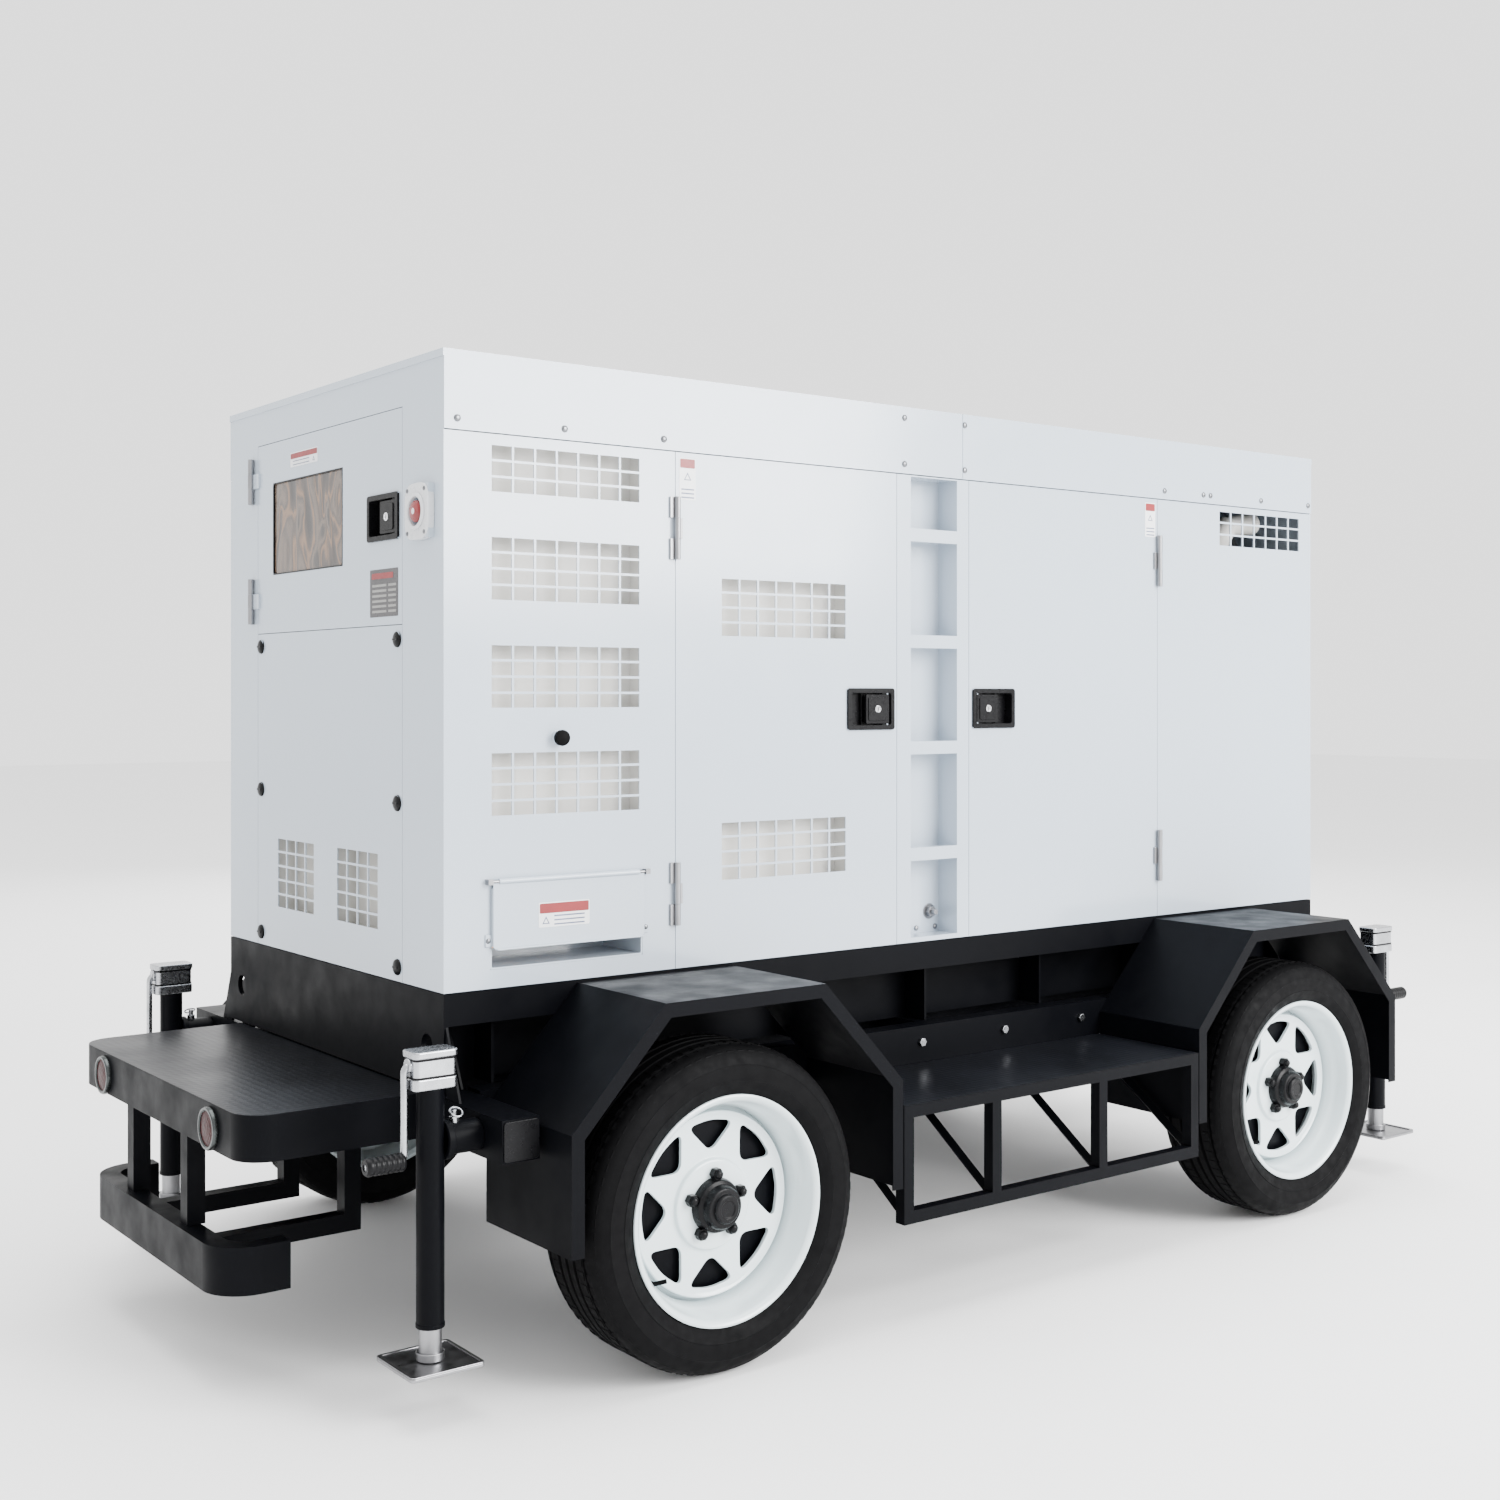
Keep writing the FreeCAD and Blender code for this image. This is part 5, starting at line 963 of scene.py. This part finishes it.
def make_wheel(name, matrix):
    """A stepped rim and a windowed disc, with the hub, its nuts, the drum behind and the valve."""
    rim = Build(matrix)
    rim.turn(
        [(0.2075, 0.0870), (0.2080, 0.0840), (0.2060, 0.0800), (0.1990, 0.0780), (0.1985, 0.0600),
         (0.1900, 0.0450), (0.1840, 0.0300), (0.1840, -0.0300), (0.1985, -0.0600), (0.1990, -0.0780),
         (0.2070, -0.0800), (0.2075, -0.0870), (0.2010, -0.0875), (0.1930, -0.0780), (0.1925, -0.0600),
         (0.1780, -0.0300), (0.1780, 0.0300), (0.1850, 0.0470), (0.1925, 0.0610), (0.1935, 0.0790),
         (0.1990, 0.0860), (0.2040, 0.0880)],
        "y", (0.0, 0.0), 96,
    )
    rim.piece(f"{name}_rim", name, RIM_WHITE, "white_paint", 0)
    disc = Build(matrix)
    disc.turn(
        [(0.0300, 0.0300), (0.0300, 0.0360), (0.0760, 0.0360), (0.0810, 0.0335), (0.0840, 0.0275),
         (0.0900, 0.0255), (0.1600, 0.0270), (0.1665, 0.0310), (0.1690, 0.0290), (0.1700, 0.0150),
         (0.1790, 0.0060), (0.1790, -0.0010), (0.1640, 0.0100), (0.1600, 0.0190), (0.0900, 0.0180),
         (0.0800, 0.0210), (0.0760, 0.0300)],
        "y", (0.0, 0.0), 96,
    )
    plate = disc.piece(f"{name}_disc", name, RIM_WHITE, "white_paint", 0, smooth=False)
    cutter = window_cutter(matrix)
    hole = plate.modifiers.new("windows", "BOOLEAN")
    hole.operation = "DIFFERENCE"
    hole.object = cutter
    hole.solver = "EXACT"
    view = bpy.context.evaluated_depsgraph_get()
    done = bpy.data.meshes.new_from_object(plate.evaluated_get(view))
    plate.modifiers.clear()
    plate.data = done
    bpy.data.objects.remove(cutter)
    soften(plate, 0.0012)
    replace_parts(plate, name)
    hub = Build(matrix)
    hub.turn(
        [(0.0002, 0.0200), (0.0500, 0.0200), (0.0500, 0.0440), (0.0470, 0.0530), (0.0400, 0.0570),
         (0.0380, 0.0680), (0.0350, 0.0715), (0.0270, 0.0720), (0.0265, 0.0775), (0.0235, 0.0800),
         (0.0160, 0.0800), (0.0150, 0.0780), (0.0002, 0.0780)],
        "y", (0.0, 0.0), 48,
    )
    for centre in ring(STUD_CIRCLE, STUDS, start=math.pi / 2):
        hub.prism(ring(0.0118, 6, centre), "y", 0.0360, 0.0500)
        tall_dome(hub, "y", 0.0500, centre, 0.0085, 0.0070, 16)
    hub.piece(f"{name}_hub", name, PLASTIC, "black_plastic", 0.0010)
    drum = Build(matrix)
    drum.turn(
        [(0.0240, -0.0400), (0.1640, -0.0400), (0.1640, 0.0040), (0.1500, 0.0090), (0.0900, 0.0120),
         (0.0240, 0.0120)],
        "y", (0.0, 0.0), 48,
    )
    drum.piece(f"{name}_hub_flange", name, BLACK, "black_paint", 0)
    valve = Build(matrix)
    valve.pipe([(-0.1470, 0.0520, -0.1130), (-0.1290, 0.0700, -0.1060)], 0.0042, 12)
    valve.pipe([(-0.1530, 0.0440, -0.1160), (-0.1460, 0.0530, -0.1126)], 0.0062, 12)
    valve.piece(f"{name}_valve", name, RUBBER, "tyre_rubber", 0)


def make_running_gear():
    """Wheels, axles, steering and drawbar."""
    for end, x in AXLES.items():
        for side, sign in SIDES.items():
            tag = f"{end}_{side}"
            matrix = wheel_place(x, sign)
            make_tyre(f"tyre_{tag}", f"wheel_{tag}", matrix)
            make_wheel(f"wheel_{tag}", matrix)
    for name in ("front_axle", "rear_axle", "knuckle_right", "knuckle_left", "steering_yoke", "drawbar"):
        dress(name, BLACK, 0.0025)
    dress("tie_rod", STEEL, 0.001)


TUBE_BOTTOM, TUBE_TOP, TUBE_BORE = 0.153, 0.5585, 0.0206
HEAD_LOW, HEAD_HIGH, HEAD_TOP = 0.5780, 0.6120, 0.6240
FOOT_HALF = 0.069
CRANK_Z, CRANK_OUT, GRIP_Z = 0.600, 0.049, 0.440
PULL_X = -0.045


def jack_tube(tag, matrix):
    """The black outer tube and its pivot, the bright head and the pull pin."""
    body = f"jack_body_{tag}"
    tube = Build(matrix)
    tube.frame(ring(0.0240, 40), ring(TUBE_BORE, 40), "z", TUBE_BOTTOM, TUBE_TOP)
    tube.frame(ring(0.0250, 40), ring(TUBE_BORE, 40), "z", TUBE_BOTTOM, TUBE_BOTTOM + 0.008)
    tube.rod("x", -0.0890, -0.0200, (0.0, JACK_PIVOT_Z), 0.0280, 40)
    tube.rod("x", -0.0320, -0.0200, (0.0, JACK_PIVOT_Z), 0.0345, 40)
    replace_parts(tube.piece(f"jack_tube_{tag}", body, BLACK, "black_paint", 0.0012), body)
    head = Build(matrix)
    head.prism(pad(0.0415, 0.0250, 0.010), "z", TUBE_TOP, HEAD_LOW)
    head.prism(pad(0.0395, 0.0235, 0.009), "z", HEAD_LOW, HEAD_HIGH)
    head.prism(pad(0.0425, 0.0260, 0.011), "z", HEAD_HIGH, HEAD_TOP)
    head.rod("x", 0.0350, 0.0445, (0.0, CRANK_Z), 0.0125)
    head.piece(f"jack_head_{tag}", body, ZINC, "zinc_plate", 0.0022, 3)
    band = Build(matrix)
    strap = pad(0.0402, 0.0242, 0.009)
    band.prism(strap, "z", HEAD_LOW, 0.5815)
    band.prism(strap, "z", 0.6080, HEAD_HIGH)
    band.piece(f"jack_bands_{tag}", body, PLASTIC, "black_plastic", 0.0006)
    pull = Build(matrix)
    pull.rod("z", 0.490, 0.5150, (PULL_X, 0.0), 0.0050)
    pull.rod("z", 0.490, 0.5040, (PULL_X, 0.0), 0.0085)
    loop = []
    for step in range(25):
        angle = math.tau * step / 24
        loop.append(
            (PULL_X + 0.011 * math.cos(angle), 0.010 * math.sin(angle) + 0.008,
             0.512 - 0.006 * math.sin(angle))
        )
    pull.pipe(loop, 0.0018, 10)
    pull.piece(f"jack_pull_pin_{tag}", body, ZINC, "zinc_plate", 0.0005)


def jack_leg(tag, matrix):
    """The telescoping leg and its square foot."""
    leg = Build(matrix)
    leg.frame(ring(0.0198, 40), ring(0.0160, 40), "z", 0.0980, 0.5000)
    leg.frame(ring(0.0240, 40), ring(0.0160, 40), "z", 0.0980, 0.1120)
    plate = pad(FOOT_HALF, FOOT_HALF, 0.008)
    leg.prism(plate, "z", 0.0900, 0.0965)
    leg.frame(plate, pad(0.0625, 0.0625, 0.006), "z", 0.0965, 0.0990)
    done = leg.piece(f"jack_leg_tube_{tag}", f"jack_leg_{tag}", STEEL, "zinc_plate", 0.0012)
    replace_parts(done, f"jack_leg_{tag}")


def jack_crank(tag, matrix):
    """The bent crank rod and its ribbed grip."""
    crank = Build(matrix)
    route = [(0.021, CRANK_Z), (CRANK_OUT, CRANK_Z), (CRANK_OUT, GRIP_Z), (0.119, GRIP_Z)]
    crank.pipe(eased([(x, 0.0, z) for x, z in route], 0.014), 0.0062, 16)
    done = crank.piece(f"crank_rod_{tag}", f"jack_crank_{tag}", ZINC, "zinc_plate", 0)
    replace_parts(done, f"jack_crank_{tag}")
    grip = Build(matrix)
    profile = [(0.0064, 0.050), (0.0135, 0.050), (0.0158, 0.054)]
    for step in range(6):
        start = 0.057 + 0.0095 * step
        profile += [
            (0.0158, start), (0.0146, start + 0.002), (0.0146, start + 0.004), (0.0158, start + 0.006),
        ]
    profile += [(0.0158, 0.1160), (0.0130, 0.1205), (0.0064, 0.1210)]
    grip.turn(profile, "x", (0.0, GRIP_Z), 32)
    grip.piece(f"crank_grip_{tag}", f"jack_crank_{tag}", PLASTIC, "black_plastic", 0)


def make_jacks():
    for end, away in ENDS.items():
        for side, sign in SIDES.items():
            tag = f"{end}_{side}"
            mirror = Matrix.Diagonal((away, sign, 1, 1))
            matrix = Matrix.Translation((JACKS[end], sign * JACK_Y, 0.0)) @ mirror
            jack_tube(tag, matrix)
            jack_leg(tag, matrix)
            jack_crank(tag, matrix)


def make_power_unit():
    """Finishes of the hidden engine, alternator and exhaust, and the air pipes by the front grilles."""
    dress("engine_block", IRON, 0.006, 3)
    dress("alternator", IRON, 0.004, 3)
    dress("crankshaft_rotor", STEEL, 0.001)
    dress("cooling_fan", PLASTIC, 0.001)
    dress("radiator", ALUMINIUM, 0.002)
    dress("muffler", STEEL, 0.004, 3)
    for side in SIDES:
        duct = Build(wall(side))
        duct.pipe([(2.22, -0.09, 1.56), (2.30, -0.09, 1.66), (2.40, -0.09, 1.672)], 0.028, 20)
        duct.piece(f"air_pipe_{side}", "trailer", LINING_WITH_PAINTED_SHADE, "white_paint", 0)


# ---------------------------------------------------------------- stage

def make_stage():
    """A pale floor, an even white surround and three soft lights."""
    bpy.ops.mesh.primitive_plane_add(size=60, location=(0, 0, -0.0005))
    floor = bpy.context.object
    floor.name = "studio_floor"
    floor.data.materials.append(
        finish("studio_floor", (0.90, 0.90, 0.90), 0.8, grain=30, depth=0.0001, patch=0.4, shift=0.005)
    )
    world = bpy.data.worlds.new("studio")
    world.use_nodes = True
    world.node_tree.nodes["Background"].inputs["Color"].default_value = (1.0, 1.0, 1.0, 1.0)
    world.node_tree.nodes["Background"].inputs["Strength"].default_value = 2.1
    bpy.context.scene.world = world
    for name, place_at, aim, size, power in (
        ("key", (3.0, -7.0, 4.0), (0.3, 0.0, 0.9), 4.5, 1600),
        ("top", (0.0, 0.0, 7.0), (0.0, 0.0, 0.0), 6.0, 650),
        ("back", (4.0, 6.5, 4.0), (0.0, 0.0, 0.9), 5.0, 400),
    ):
        light = bpy.data.lights.new(name, "AREA")
        light.size = size
        light.energy = power
        item = bpy.data.objects.new(name, light)
        item.location = place_at
        item.rotation_euler = (Vector(aim) - Vector(place_at)).to_track_quat("-Z", "Y").to_euler()
        bpy.context.scene.collection.objects.link(item)


def make_camera():
    data = bpy.data.cameras.new("camera")
    data.sensor_width = 36.0
    data.lens = 43.78
    data.shift_x = 0.0008
    data.shift_y = -0.0358
    camera = bpy.data.objects.new("camera", data)
    camera.location = (-2.733, -3.415, 1.222)
    camera.rotation_euler = Vector((0.6049, 0.7963, 0.0)).to_track_quat("-Z", "Y").to_euler()
    bpy.context.scene.collection.objects.link(camera)
    bpy.context.scene.camera = camera


make_camera()
make_canopy()
make_deck()
make_base_details()
make_running_gear()
make_jacks()
make_power_unit()
make_stage()
